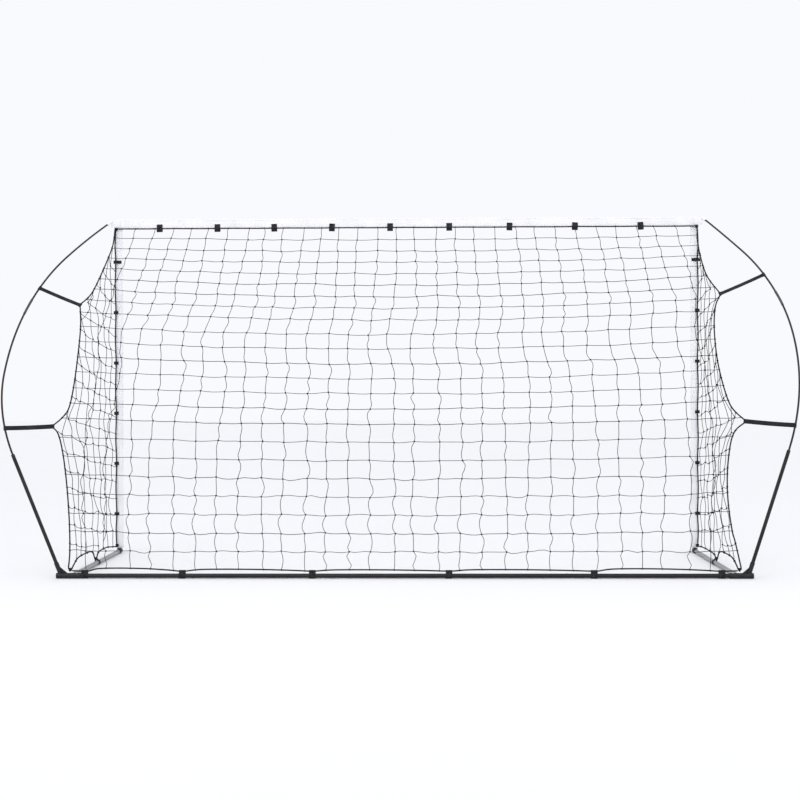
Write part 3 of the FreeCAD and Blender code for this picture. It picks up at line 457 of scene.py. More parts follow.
def hook_and_loop():
    finish = Finish("hook-and-loop tape", sheen=0.05, sheen_rough=0.6, specular=0.15)
    pile = finish.noise(1500, 4)
    finish.colour(finish.noise(60, 5), (0.005, 0.005, 0.006), (0.028, 0.028, 0.030))
    finish.rough(pile, 0.75, 1.0)
    finish.bump(pile, 0.0006, 0.9)
    finish.bump(finish.weave(0.0016, 0.0016), 0.0002, 0.6)
    return finish.material


def laid_rope(name, across, along, dark, light, depth):
    """Braided rope, twine or cord: slanting strands with a little fuzz."""
    finish = Finish(name, sheen=0.03, sheen_rough=0.5, specular=0.15)
    strands = finish.braid(across, along)
    mixed = finish.math("ADD", finish.math("MULTIPLY", strands, 0.22), finish.noise(55, 4))
    finish.colour(mixed, dark, light, 0.3, 0.9)
    finish.rough(finish.noise(200, 3), 0.55, 0.8)
    finish.bump(finish.noise(2200, 3), 0.00012, 0.5)
    finish.bump(strands, depth, 0.9)
    return finish.material


def floor_finish():
    finish = Finish("studio floor", specular=0.2)
    finish.colour(finish.noise(0.6, 3), (0.825, 0.828, 0.84), (0.835, 0.838, 0.85))
    finish.rough(finish.noise(3, 3), 0.85, 0.95)
    return finish.material


NEAR_BLACK = (0.003, 0.003, 0.004)
PAINTS = {
    "rear_bar_paint": paint("rear bar paint", (0.004, 0.004, 0.005), (0.016, 0.016, 0.018),
                            (0.05, 1, 1), 0.14, 0.26),
    "side_bar_paint": paint("side bar paint", (0.22, 0.22, 0.24), (0.40, 0.40, 0.42),
                            (1, 0.05, 1), 0.2, 0.4),
    "connector_paint": paint("connector paint", (0.005, 0.005, 0.006), (0.018, 0.018, 0.020),
                             (1, 1, 1)),
    "bow_tube_paint": paint("bow tube paint", (0.005, 0.005, 0.005), (0.020, 0.018, 0.019),
                            (1, 1, 0.06)),
    "fibreglass": fibreglass(),
    "ferrule_steel": steel("ferrule steel", (0.12, 0.12, 0.125)),
    "black_plastic": plastic(),
    "white_fabric": white_fabric(),
    "black_webbing": webbing(),
    "hook_and_loop": hook_and_loop(),
    "rope": laid_rope("braided rope", 0.0042, 0.009, NEAR_BLACK, (0.018, 0.018, 0.019), 0.0006),
    "net_twine": laid_rope("net twine", 0.0024, 0.0046, NEAR_BLACK, (0.014, 0.013, 0.014),
                           0.0003),
    "elastic_cord": laid_rope("elastic cord", 0.0027, 0.004, (0.02, 0.02, 0.02),
                              (0.10, 0.10, 0.10), 0.0002),
    "button_steel": steel("button steel", (0.66, 0.66, 0.67)),
    "spring_steel": steel("spring steel", (0.45, 0.47, 0.50)),
}
WHITE_THREAD = laid_rope("white thread", 0.0009, 0.0009, (0.60, 0.60, 0.66), (0.84, 0.84, 0.88),
                         0.0001)
BLACK_THREAD = laid_rope("black thread", 0.0009, 0.0009, (0.010, 0.010, 0.011),
                         (0.05, 0.05, 0.055), 0.0001)

# design nodes that are shown as they are, by slot; a pair has one on each side
PAIRS = {
    "side_bar_paint": ("side_bar",),
    "connector_paint": ("corner_connector",),
    "bow_tube_paint": ("bow_lower_tube",),
    "fibreglass": ("pole_lower", "pole_upper"),
    "ferrule_steel": ("pole_ferrule",),
    "black_plastic": ("connector_cap", "front_foot", "pole_reducer", "pole_tip"),
    "button_steel": ("snap_button_rear", "snap_button_corner", "snap_button_side"),
}
KEPT = {slot: [stem + "_" + word for stem in stems for word in NAMES.values()]
        for slot, stems in PAIRS.items()}
KEPT["button_steel"].append("snap_button_rear_centre")
KEPT["rear_bar_paint"] = ["rear_bar_%s_%s" % (word, part) for word in NAMES.values()
                          for part in ("end", "mid")]
for slot_name, kept_nodes in KEPT.items():
    for kept_node in kept_nodes:
        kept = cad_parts[kept_node]
        if not kept.material_slots:
            kept.data.materials.append(PAINTS[slot_name])
        for slot in kept.material_slots:
            slot.material = PAINTS[slot_name]


# ---------------------------------------------------------------- border ropes
ROPE = 0.004
ROPE_STEP = 0.012
ROPE_TOP_Z = 2.100
ROPE_BACK_Y = 0.540
POST_ROPE_X = 1.875
SIDE_ROPE_X = 1.868
REAR_ROPE_Y = -0.543
ROPE_LOW_Z = 0.040
BOTTOM_END_X = 1.858
BOTTOM_END_Z = 0.042
TIE_HOLD = 0.020
REAR_TIES = (-1.785, -1.236, -0.507, 0.256, 1.063, 1.770)
CROSSBAR_TABS = (-1.589, -1.214, -0.846, -0.472, -0.097, 0.284, 0.672, 1.092, 1.512)
POST_TABS = (0.255, 0.581, 0.907, 1.233, 1.559, 1.885)

# Runs of each edge rope between the straps that pull it outwards. Both are written for the
# left hand, and the right one is mirrored.
EDGE_RUNS = {
    LEFT: (((-1.876, 0.533, 2.101), (-1.857, 0.40, 1.98), (-1.861, 0.267, 1.863),
            (-1.880, 0.07, 1.69), (-1.899, -0.01, 1.620), (-1.940, -0.050, 1.572)),
           ((-1.940, -0.060, 1.558), (-1.918, -0.13, 1.44), (-1.906, -0.22, 1.29),
            (-1.899, -0.34, 1.09), (-1.906, -0.42, 0.955), (-1.935, -0.458, 0.898),
            (-1.978, -0.478, 0.857)),
           ((-1.978, -0.483, 0.843), (-1.947, -0.490, 0.805), (-1.918, -0.504, 0.70),
            (-1.891, -0.524, 0.527), (-1.874, -0.535, 0.32), (-1.871, -0.538, 0.15),
            (-1.879, -0.539, 0.053))),
    RIGHT: (((-1.872, 0.533, 2.101), (-1.845, 0.40, 1.985), (-1.836, 0.254, 1.852),
             (-1.840, 0.150, 1.757), (-1.857, 0.081, 1.697), (-1.889, 0.002, 1.628)),
            ((-1.889, -0.010, 1.614), (-1.848, -0.067, 1.544), (-1.823, -0.14, 1.42),
             (-1.813, -0.24, 1.254), (-1.820, -0.32, 1.12), (-1.840, -0.40, 0.99),
             (-1.866, -0.436, 0.930), (-1.915, -0.469, 0.878)),
            ((-1.915, -0.475, 0.864), (-1.860, -0.486, 0.819), (-1.830, -0.497, 0.745),
             (-1.807, -0.52, 0.59), (-1.808, -0.53, 0.43), (-1.828, -0.536, 0.27),
             (-1.846, -0.537, 0.20), (-1.879, -0.539, 0.053))),
}
EDGES = {side: mirror(np.vstack([smooth(run, ROPE_STEP) for run in runs]), side)
         for side, runs in EDGE_RUNS.items()}


def edge_at(side, z):
    """Point of an edge rope at a height."""
    order = EDGES[side][::-1]
    return np.array([np.interp(z, order[:, 2], order[:, 0]),
                     np.interp(z, order[:, 2], order[:, 1]), z])


def edge_height(side, y):
    """Height of an edge rope at a distance behind the mouth."""
    order = EDGES[side][::-1]
    return np.interp(y, order[:, 1], order[:, 2])


def bottom_rope():
    """Line of the rope above the rear bar: held down by the ties, slack between them."""
    spots = [(-BOTTOM_END_X, REAR_ROPE_Y, BOTTOM_END_Z)]
    rises = (0.016, 0.010, 0.007, 0.008, 0.013)
    for i, x in enumerate(REAR_TIES):
        spots += [(x + side * TIE_HOLD, REAR_ROPE_Y, ROPE_LOW_Z) for side in (LEFT, RIGHT)]
        if i < len(rises):
            gap = REAR_TIES[i + 1] - x
            for share, lift in ((0.13, 0.8), (0.32, 1.0), (0.6, 0.85), (0.84, 0.4)):
                spots.append((x + gap * share, REAR_ROPE_Y + 0.003 * lift,
                              ROPE_LOW_Z + rises[i] * lift))
    spots.append((BOTTOM_END_X, REAR_ROPE_Y, BOTTOM_END_Z))
    return smooth(spots, ROPE_STEP)


def post_rope(side):
    """Line of the rope down a post band, bulging outwards between the tabs."""
    heights = (2.088,) + tuple(reversed(POST_TABS)) + (0.054,)
    spots = []
    for upper, lower in zip(heights, heights[1:]):
        spots.append((-POST_ROPE_X + 0.001, ROPE_BACK_Y, upper))
        spots.append((-POST_ROPE_X - 0.004, ROPE_BACK_Y, (upper + lower) / 2))
    spots.append((-POST_ROPE_X, ROPE_BACK_Y, heights[-1]))
    return mirror(smooth(spots, ROPE_STEP), side)


def side_rope(side):
    """Line of the rope above a side bar, held by one tie half way."""
    front = 0.012 if side == LEFT else 0.0
    spots = ((-SIDE_ROPE_X, -0.521, 0.042), (-SIDE_ROPE_X - 0.002, -0.46, 0.066),
             (-SIDE_ROPE_X - 0.004, -0.36, 0.092), (-SIDE_ROPE_X - 0.004, -0.20, 0.096),
             (-SIDE_ROPE_X - 0.002, -0.07, 0.086), (-SIDE_ROPE_X, -0.021, ROPE_LOW_Z),
             (-SIDE_ROPE_X, 0.021, ROPE_LOW_Z), (-SIDE_ROPE_X - 0.001, 0.07, 0.056 + front),
             (-SIDE_ROPE_X - 0.002, 0.25, 0.060 + front), (-SIDE_ROPE_X - 0.002, 0.42, 0.056),
             (-SIDE_ROPE_X, 0.528, 0.044))
    return mirror(smooth(spots, ROPE_STEP), side)


ROPE_KNOT = 0.0032
ROPE_KNOT_CORD = 0.0035
# the knots that join the ropes at the left-hand corners
TOP_KNOT = (-1.869, 0.538, 2.097)
REAR_KNOT = (-1.870, -0.536, 0.048)
FRONT_KNOT = (-1.872, 0.536, 0.050)


def rope_piece(name, path, knots=()):
    """One border rope, its ends drawn in, with the knots that join it to its neighbours."""
    bag = Bag()
    run = lengths(path)
    close = np.minimum(run, run[-1] - run)
    scale = 0.8 + 0.2 * np.clip(close / 0.01, 0, 1)
    bag.sweep(path, circle(ROPE, 14), carried(path), scale)
    for spot in knots:
        loop = TREFOIL[:, [0, 2, 1]] * ROPE_KNOT + np.asarray(spot)
        bag.rings(loop_rings(loop, ROPE_KNOT_CORD, 10), closed=True)
    bag.piece(name, "rope")


BOTTOM = bottom_rope()
top_x = np.linspace(-1.865, 1.865, 240)
TOP = np.stack([top_x, np.full(240, ROPE_BACK_Y),
                ROPE_TOP_Z - 0.0012 * np.abs(np.sin(top_x * 8.4))], -1)
SIDE_LINES = {side: side_rope(side) for side in (LEFT, RIGHT)}

rope_piece("net_rope_top", TOP, [mirror(TOP_KNOT, side) for side in NAMES])
rope_piece("net_rope_bottom", BOTTOM, [mirror(REAR_KNOT, side) for side in NAMES])
for side, word in NAMES.items():
    rope_piece("net_rope_post_" + word, post_rope(side))
    rope_piece("net_rope_side_" + word, SIDE_LINES[side], [mirror(FRONT_KNOT, side)])
    rope_piece("net_rope_edge_" + word, EDGES[side])


# ---------------------------------------------------------------- knotted net
ROWS = 23
MIDDLE = 15
COLUMNS = 31
BENDS = (0, 8, 15, ROWS)
EDGE_ROOM = 0.030
EDGE_REACH = 0.05
EDGE_SLOPE = (0.02, 0.35, 0.93)


def drift(rows, columns, size):
    """Smooth random drift over a grid."""
    grid = random.normal(size=(rows + 6, columns + 6))
    kernel = np.array([1, 3, 5, 6, 5, 3, 1], float)
    kernel /= kernel.sum()
    grid = np.apply_along_axis(lambda v: np.convolve(v, kernel, "same"), 0, grid)
    grid = grid[3:-3, 3:-3]
    return grid * size / grid.std()


def strand(bag, knots, way, bows, snakes, out, depths):
    """Twine through the knots: between two it bows and snakes along way, and bows along out."""
    t = np.linspace(0, 1, 4, endpoint=False)[:, None]
    arch = np.sin(math.pi * t)
    wriggle = np.sin(2 * math.pi * t)
    path = [a + (b - a) * t + bow * way * arch + snake * way * wriggle + depth * out * arch
            for a, b, bow, snake, depth in zip(knots[:-1], knots[1:], bows, snakes, depths)]
    bag.tube(np.vstack(path + [knots[-1:]]), TWINE, around=6)


def rear_profile(row):
    """Distance behind the mouth and height of a row, at the ends."""
    return (np.interp(row, BENDS, (ROPE_BACK_Y, -0.050, -0.450, REAR_ROPE_Y)),
            np.interp(row, BENDS, (ROPE_TOP_Z, 1.515, 0.890, 0.046)))


def column_places(row):
    """Places of a row's knots along the net; the mesh is wider on the right."""
    steps = np.arange(COLUMNS) - MIDDLE
    middle = -0.058 - 0.030 * math.exp(-((row - 9.4) / 1.4) ** 2)
    narrow = np.interp(row, (0, 14, 18, ROWS), (0.1202, 0.1232, 0.1244, 0.1230))
    wide = np.interp(row, (0, 8, ROWS), (0.1278, 0.1290, 0.1263))
    return middle + steps * np.where(steps < 0, narrow, wide)


def rear_knots():
    """Places of the rear net's knots: rows from the top rope to the bottom rope."""
    across = drift(ROWS + 1, COLUMNS, 0.0065)
    lift = random.normal(size=across.shape) * 0.0025
    depth = random.normal(size=across.shape) * 0.005
    spots = np.empty((ROWS + 1, COLUMNS, 3))
    for row in range(ROWS + 1):
        y_mid, z_end = rear_profile(row)
        x = column_places(row) + across[row]
        held = 0.0 if row in (0, ROWS) else 1.0
        sag = 0.044 * math.sin(math.pi * (row / ROWS) ** 0.75) * (1 - (x / 1.75) ** 2)
        ends = [edge_at(side, z_end) for side in (LEFT, RIGHT)]
        back = np.where(x < 0, ends[0][1], ends[1][1])
        reach = np.where(x < 0, ends[0][0], ends[1][0])
        spots[row, :, 0] = x
        spots[row, :, 1] = y_mid + (back - y_mid) * np.abs(x / reach) ** 4 + depth[row] * held
        spots[row, :, 2] = z_end - sag * held + lift[row] * held
        if row == 0:
            spots[row, :, 1] = ROPE_BACK_Y
        if row == ROWS:
            spots[row, :, 1] = np.interp(x, BOTTOM[:, 0], BOTTOM[:, 1])
            spots[row, :, 2] = np.interp(x, BOTTOM[:, 0], BOTTOM[:, 2])
    return spots


def inside(spot):
    """Whether a knot lies between the two edge ropes, with room for a last half square."""
    left, right = (edge_at(side, spot[2])[0] for side in (LEFT, RIGHT))
    return left + EDGE_ROOM < spot[0] < right - EDGE_ROOM


def column_knots(spots, k):
    """One column's line and its rows; the outermost columns begin and end on an edge rope."""
    if 0 < k < COLUMNS - 1:
        return spots[:, k], range(ROWS)
    rows = [row for row in range(4, ROWS - 2) if inside(spots[row, k])]
    if len(rows) < 2:
        return None, range(0)
    rows = range(rows[0], rows[-1] + 1)
    side = LEFT if k == 0 else RIGHT
    held = spots[rows.start:rows.stop, k]
    return np.vstack([edge_at(side, held[0, 2] + EDGE_REACH), held,
                      edge_at(side, held[-1, 2] - EDGE_REACH)]), rows


def rear_net():
    bag = Bag()
    spots = rear_knots()
    lean = random.normal(size=ROWS)
    crossed = {}
    for k in range(COLUMNS):
        knots, held = column_knots(spots, k)
        if knots is None:
            continue
        crossed[k] = held
        rows = len(knots) - 1
        where = np.clip(held.start + np.arange(rows), 0, ROWS - 1)
        size = np.interp(where, (0, ROWS), (0.006, 0.013))
        common = 0.55 * lean[where]
        sideways = size * np.clip(common + 0.5 * random.normal(size=rows), -1.5, 1.5)
        snake = size * 0.35 * random.normal(size=rows)
        deep = 0.006 * random.normal(size=rows)
        strand(bag, knots, ALONG, sideways, snake, FORWARD, deep)
    for row in range(1, ROWS):
        line = [spots[row, k] for k, held in crossed.items() if row in held]
        ends = [edge_at(side, line[i][2] + 0.004) for side, i in ((LEFT, 0), (RIGHT, -1))]
        line = np.array([ends[0]] + line + [ends[1]])
        steps = len(line) - 1
        waves = 0.0012 if row < 18 else 0.0032
        droop = -0.0016 + waves * random.normal(size=steps)
        snake = waves * 0.6 * random.normal(size=steps)
        deep = 0.003 * random.normal(size=steps)
        strand(bag, line, UP, droop, snake, FORWARD, deep)
        for side, end in zip((LEFT, RIGHT), ends):
            hitch(bag, end, mirror(EDGE_SLOPE, side))
        for spot in line[1:-1]:
            knot(bag, spot)
    for k in range(1, COLUMNS - 1):
        hitch(bag, spots[0, k], ALONG)
        hitch(bag, spots[ROWS, k], ALONG)
    bag.piece("net_rear", "net_twine")


SIDE_TOP = 2.035
SIDE_STRAY = 0.006
FLOOR_ROOM = 0.035
SIDE_ROWS = 20
SIDE_COLUMNS = 8
SIDE_MESH = 0.120
SIDE_ROW = 0.105
SIDE_SLOPE = 0.155


def side_point(side, y, z):
    """A place on a side panel, between the post rope and the edge rope."""
    edge = edge_at(side, z)
    share = np.clip((ROPE_BACK_Y - y) / (ROPE_BACK_Y - edge[1]), 0, 1)
    post = side * (POST_ROPE_X + 0.002)
    return np.array([post + (edge[0] - post) * share ** 1.4, y, z])


def side_row_end(side, post_z):
    """Where a row that starts at the post meets the edge rope."""
    z = post_z + SIDE_SLOPE
    for _ in range(8):
        deep = (ROPE_BACK_Y - edge_at(side, z)[1]) / 1.08
        z = post_z + SIDE_SLOPE * (0.3 + 0.7 * deep)
    return edge_at(side, z)


def side_net(side):
    bag = Bag()
    floor = SIDE_LINES[side]
    floor = floor[np.argsort(floor[:, 1])]
    columns = ROPE_BACK_Y - SIDE_MESH * np.arange(1, SIDE_COLUMNS + 1)
    bases = [np.array([np.interp(y, floor[:, 1], floor[:, k]) for k in range(3)])
             for y in columns]
    grid = {}
    rows = []
    for j in range(SIDE_ROWS):
        post_z = SIDE_TOP - SIDE_ROW * j
        end = side_row_end(side, post_z)
        row = []
        for c, y in enumerate(columns):
            y = y + random.normal() * SIDE_STRAY
            if y < end[1] + EDGE_ROOM:
                break
            share = (ROPE_BACK_Y - y) / (ROPE_BACK_Y - end[1])
            z = post_z + (end[2] - post_z) * share - 0.012 * math.sin(math.pi * share)
            z += random.normal() * SIDE_STRAY
            if z < bases[c][2] + FLOOR_ROOM:
                continue
            spot = side_point(side, y, z) + random.normal() * SIDE_STRAY * ALONG
            grid[c, j] = spot
            row.append(spot)
        if end[2] < 0.10 or not row:
            continue
        start = [side_point(side, ROPE_BACK_Y, post_z)] if post_z > 0.09 else []
        rows.append(np.array(start + row + [end]))
        hitch(bag, end, mirror(EDGE_SLOPE, side))
        for spot in start:
            hitch(bag, spot, UP)
    for line in rows:
        steps = len(line) - 1
        droop = -0.003 + 0.0035 * random.normal(size=steps)
        snake = 0.0022 * random.normal(size=steps)
        deep = 0.004 * random.normal(size=steps)
        strand(bag, line, UP, droop, snake, ALONG, deep)
    for c, y in enumerate(columns):
        knots = [grid[c, j] for j in range(SIDE_ROWS) if (c, j) in grid]
        top = edge_height(side, y)
        if knots and top - knots[0][2] > 0.02:
            knots = [edge_at(side, top)] + knots
        line = np.array(knots + [bases[c]])
        steps = len(line) - 1
        sideways = 0.0055 * random.normal(size=steps)
        snake = 0.0025 * random.normal(size=steps)
        deep = 0.004 * random.normal(size=steps)
        strand(bag, line, FORWARD, sideways, snake, ALONG, deep)
        hitch(bag, line[-1], FORWARD)
    for spot in grid.values():
        knot(bag, spot)
    bag.piece("net_side_" + NAMES[side], "net_twine")


rear_net()
for side in (LEFT, RIGHT):
    side_net(side)


# ---------------------------------------------------------------- white bands
BAND_LOW = 2.100
BAND_HIGH = 2.160
BAND_THICK = 0.0034
HEM_ROWS = (1, 9)
MOUTH_Y = 0.550
HALF_MOUTH = 1.884
POST_MIDDLE = 1.857
POST_WIDE = 0.054
POST_FOOT = 0.034
POST_HEAD = 2.0997


def band_rings(start, run, across, width, thick, tabs):
    """A folded, hemmed band: rings of points, thicker at its hems, puckered at its tabs."""
    length = np.linalg.norm(run)
    count = int(length / 0.008)
    v = np.linspace(0, length, count)
    section = flat_section(width, thick, across=11)
    out = np.cross(unit(run), across)
    pull = sum(np.exp(-((v - tab) / 0.030) ** 2) for tab in tabs)
    ripple = (0.0012 * np.sin(v * 31 + 1.3 * np.sin(v * 7.1))
              + 0.0008 * np.sin(v * 74 + 2.1 * np.sin(v * 3.3)))
    rings = np.empty((count, len(section), 3))
    for i in range(count):
        u = section[:, 0]
        near = np.abs(2 * u / width)
        hem = 1 + 0.22 * np.exp(-((near - 0.86) / 0.09) ** 2) - 0.30 * np.exp(
            -((near - 0.72) / 0.05) ** 2)
        buckle = ripple[i] * (0.35 + 0.65 * near ** 2) + 0.0009 * pull[i] * np.cos(u * 260)
        drawn = u * (1 - 0.025 * pull[i]) + 0.0006 * math.sin(v[i] * 19)
        rings[i] = (start + unit(run) * v[i] + np.outer(drawn, across)
                    + np.outer(section[:, 1] * hem + buckle, out))
    return rings


def band(name, start, run, across, width, tabs):
    """One white band with its two rows of hem stitching on each face."""
    start = np.asarray(start, float)
    run = np.asarray(run, float)
    bag, thread = Bag(), Bag()
    rows = band_rings(start, run, across, width, BAND_THICK, tabs)
    bag.rings(rows)
    piece = bag.piece(name, "white_fabric")
    out = np.cross(unit(run), across)
    turn = rows.shape[1] // 2
    for face, skip in ((1, 0), (-1, turn)):
        for index in HEM_ROWS:
            stitches(thread, rows[:, skip + index] + out * face * 0.0003, out * face)
    thread.build(name + "_stitching", "white_fabric", WHITE_THREAD)


band("crossbar", (-HALF_MOUTH, MOUTH_Y, (BAND_LOW + BAND_HIGH) / 2), (2 * HALF_MOUTH, 0, 0), UP,
     BAND_HIGH - BAND_LOW, [x + HALF_MOUTH for x in CROSSBAR_TABS])
for side, word in NAMES.items():
    band("post_" + word, (side * POST_MIDDLE, MOUTH_Y, POST_FOOT), (0, 0, POST_HEAD - POST_FOOT),
         ALONG * side, POST_WIDE, [z - POST_FOOT for z in POST_TABS])


# ---------------------------------------------------------------- hook-and-loop tabs
TAB_LINE = ((0.0198, 0.051), (0.0198, 0.034), (0.0197, 0.016), (0.0170, 0.0060),
            (0.0115, 0.0018), (0.0055, 0.0026), (0.0016, 0.0090), (0.0012, 0.0200),
            (0.0032, 0.0285), (0.0095, 0.0345), (0.0130, 0.0390), (0.0132, 0.0510))
SHORT_TAB_LINE = TAB_LINE[:8] + ((0.0032, 0.0225), (0.0095, 0.0250), (0.0130, 0.0270),
                                 (0.0132, 0.0300))
TAB_BACK = MOUTH_Y - 0.0165
TAB_THICK = 0.0019


def tilted(points, centre, axis, degrees):
    """Points turned about an axis through centre."""
    angle = math.radians(degrees)
    axis = unit(axis)
    arm = points - centre
    return (centre + arm * math.cos(angle) + np.cross(axis, arm) * math.sin(angle)
            + np.outer(arm @ axis, axis) * (1 - math.cos(angle)))


def tab(bag, thread, spot, up, across, width, degrees, shape=TAB_LINE):
    """A folded strip of tape: down the band's face, round the rope, up behind the band."""
    line = smooth([(0, depth, rise) for depth, rise in shape], 0.0035)
    path = spot + np.outer(line[:, 1], FORWARD) + np.outer(line[:, 2], up)
    centre = spot + 0.010 * FORWARD + 0.03 * up
    path = tilted(path, centre, FORWARD, degrees)
    width_way = tilted(np.asarray(across, float)[None] + centre, centre, FORWARD, degrees)[0]
    width_way = width_way - centre
    bag.strip(path, width, TAB_THICK, width_way)
    face = TAB_THICK / 2 + 0.0003
    up_way = unit(path[0] - path[4])
    middle = path[0] - up_way * 0.009
    half = width / 2 - 0.003
    stitched_box(thread, middle + FORWARD * face, width_way * half, up_way * 0.006, FORWARD)


def tape_piece(bag, thread, name):
    bag.piece(name, "hook_and_loop")
    thread.build(name + "_stitching", "hook_and_loop", BLACK_THREAD)


def crossbar_tabs():
    bag, thread = Bag(), Bag()
    for x in CROSSBAR_TABS:
        tab(bag, thread, np.array([x, TAB_BACK, BAND_LOW - 0.023]), UP, ALONG, 0.0365,
            random.uniform(-4, 4))
    tape_piece(bag, thread, "crossbar_tabs")


def post_tabs(side):
    bag, thread = Bag(), Bag()
    for z in POST_TABS:
        spot = np.array([side * (POST_MIDDLE + 0.033), TAB_BACK, z])
        shape = TAB_LINE if z == POST_TABS[-1] else SHORT_TAB_LINE
        tab(bag, thread, spot, -ALONG * side, UP, 0.020, random.uniform(-3, 3), shape)
    tape_piece(bag, thread, "post_tabs_" + NAMES[side])


crossbar_tabs()
for side in (LEFT, RIGHT):
    post_tabs(side)


# ---------------------------------------------------------------- ties round the ground tubes
BAR = 0.0125
AXIS_Z = 0.015
SIDE_BAR_X = 1.857
TIE_WIDE = 0.037
TIE_THICK = 0.0015
TIE_TURNS = 1.12


def wrap_line(low, low_r, high, high_r, along):
    """A strip wrapped round a tube and the rope above it, its end lapped over."""
    neck = high - low
    gap = np.linalg.norm(neck)
    up = neck / gap
    out = np.cross(along, up)
    spread = math.asin((low_r - high_r) / gap)
    spots = []
    for angle in np.linspace(-math.pi / 2 - 0.25, -math.pi - spread, 7):
        spots.append(low + low_r * (math.cos(angle) * out + math.sin(angle) * up))
    middle = low + up * (low_r + 0.42 * (gap - low_r - high_r))
    spots.append(middle - out * 0.5 * (low_r * 0.35 + high_r))
    for angle in np.linspace(math.pi - 0.2, 0.2, 7):
        spots.append(high + high_r * (math.cos(angle) * out + math.sin(angle) * up))
    spots.append(middle + out * 0.5 * (low_r * 0.35 + high_r))
    end = -math.pi / 2 - 0.25 - 2 * math.pi * (TIE_TURNS - 1)
    for angle in np.linspace(spread, end, 12):
        lapped = low_r + 0.0017 * np.clip((0.9 - angle) / 2.2 - 0.6, 0, 1)
        spots.append(low + lapped * (math.cos(angle) * out + math.sin(angle) * up))
    return smooth(spots, 0.0025)


def ground_ties():
    bag, thread = Bag(), Bag()
    spots = [(np.array([x, -0.55, AXIS_Z]), np.array([x, REAR_ROPE_Y, ROPE_LOW_Z]), ALONG)
             for x in REAR_TIES]
    spots += [(np.array([side * SIDE_BAR_X, 0, AXIS_Z]),
               np.array([side * SIDE_ROPE_X, 0, ROPE_LOW_Z]), FORWARD) for side in (LEFT, RIGHT)]
    for tube, rope, along in spots:
        line = wrap_line(tube, BAR + 0.0012, rope, ROPE + 0.0016, along)
        line[:, 2] = np.maximum(line[:, 2], 0.0010)
        bag.strip(line, TIE_WIDE, TIE_THICK, along)
        tail = line[-12:]
        for share in (-0.36, 0.36):
            row = tail + along * TIE_WIDE * share
            out = row[6] - tube - along * np.dot(row[6] - tube, along)
            stitches(thread, row + unit(out) * 0.0009, out, *FINE_STITCH)
    tape_piece(bag, thread, "ground_ties")


ground_ties()


# ---------------------------------------------------------------- webbing
STRAP_WIDE = 0.0252
STRAP_PLY = 0.00105
POLE_LOOP = 0.0068
ROPE_LOOP = 0.0058
LOOP_WIDE = 0.025
LOOP_Y = 0.5125


def foot_loops():
    """Webbing round each side bar, its tail sewn under the foot of the post band."""
    bag = Bag()
    for side in (LEFT, RIGHT):
        middle = np.array([side * SIDE_BAR_X, LOOP_Y, AXIS_Z])
        radius = BAR + 0.0012
        spots = [middle + radius * np.array([math.cos(a), 0, math.sin(a)])
                 for a in np.linspace(math.radians(75), math.radians(75 + 400), 26)]
        bag.strip(smooth(spots, 0.003), LOOP_WIDE, 0.0014, FORWARD)
        rise = smooth([(side * SIDE_BAR_X, LOOP_Y, AXIS_Z + radius + 0.0012),
                       (side * SIDE_BAR_X, 0.522, AXIS_Z + radius + 0.003),
                       (side * SIDE_BAR_X, 0.538, 0.0316), (side * SIDE_BAR_X, 0.551, 0.0322)],
                      0.003)
        bag.strip(rise, LOOP_WIDE, 0.0015, ALONG)
    bag.piece("foot_loops", "black_webbing")


# place along the bow, and the point of the edge rope that the strap pulls on
STRAPS = {
    LEFT: {"strap_upper": (1.144, (-1.940, -0.055, 1.565)),
           "strap_lower": (0.164, (-1.978, -0.481, 0.850))},
    RIGHT: {"strap_upper": (1.200, (1.889, -0.004, 1.621)),
            "strap_lower": (0.151, (1.915, -0.472, 0.871))},
}


def strap_line(pole, rope, width):
    """Closed line of a doubled strap: round the pole, along, round the rope and back."""
    run = unit(rope - pole)
    out = unit(np.cross(width, run))
    ply = 0.0006
    gap = np.linalg.norm(rope - pole)
    sag = -UP * 0.002
    spots = []
    for share in (0.30, 0.16, 0.07):
        spots.append(pole + run * gap * share + out * ply + sag * math.sin(math.pi * share))
    for angle in np.linspace(0.45, 2 * math.pi - 0.45, 15):
        spots.append(pole + POLE_LOOP * (run * math.cos(angle) + out * math.sin(angle)))
    for share in (0.07, 0.25, 0.5, 0.75, 0.92):
        spots.append(pole + run * gap * share - out * ply + sag * math.sin(math.pi * share))
    for angle in np.linspace(math.pi + 0.5, 3 * math.pi - 0.5, 13):
        spots.append(rope + ROPE_LOOP * (run * math.cos(angle) + out * math.sin(angle)))
    for share in (0.92, 0.75, 0.5, 0.31):
        spots.append(pole + run * gap * share + out * ply + sag * math.sin(math.pi * share))
    return smooth(spots, 0.004)


def strap(stem, side):
    distance, rope = STRAPS[side][stem]
    pole, direction = bow(side, distance)
    run = unit(rope - pole)
    width = unit(direction - run * np.dot(direction, run))
    bag, thread = Bag(), Bag()
    bag.strip(strap_line(pole, rope, width), STRAP_WIDE, STRAP_PLY, width)
    out = unit(np.cross(width, run))
    gap = np.linalg.norm(rope - pole)
    for share in (0.07, 0.80):
        for face in (1, -1):
            centre = pole + run * (gap * share + 0.014) + out * face * 0.0014
            stitched_box(thread, centre, run * 0.014, width * 0.010, out * face)
    name = stem + "_" + NAMES[side]
    bag.piece(name, "black_webbing")
    thread.build(name + "_stitching", "black_webbing", BLACK_THREAD)


foot_loops()
for side in (LEFT, RIGHT):
    for stem in STRAPS[side]:
        strap(stem, side)


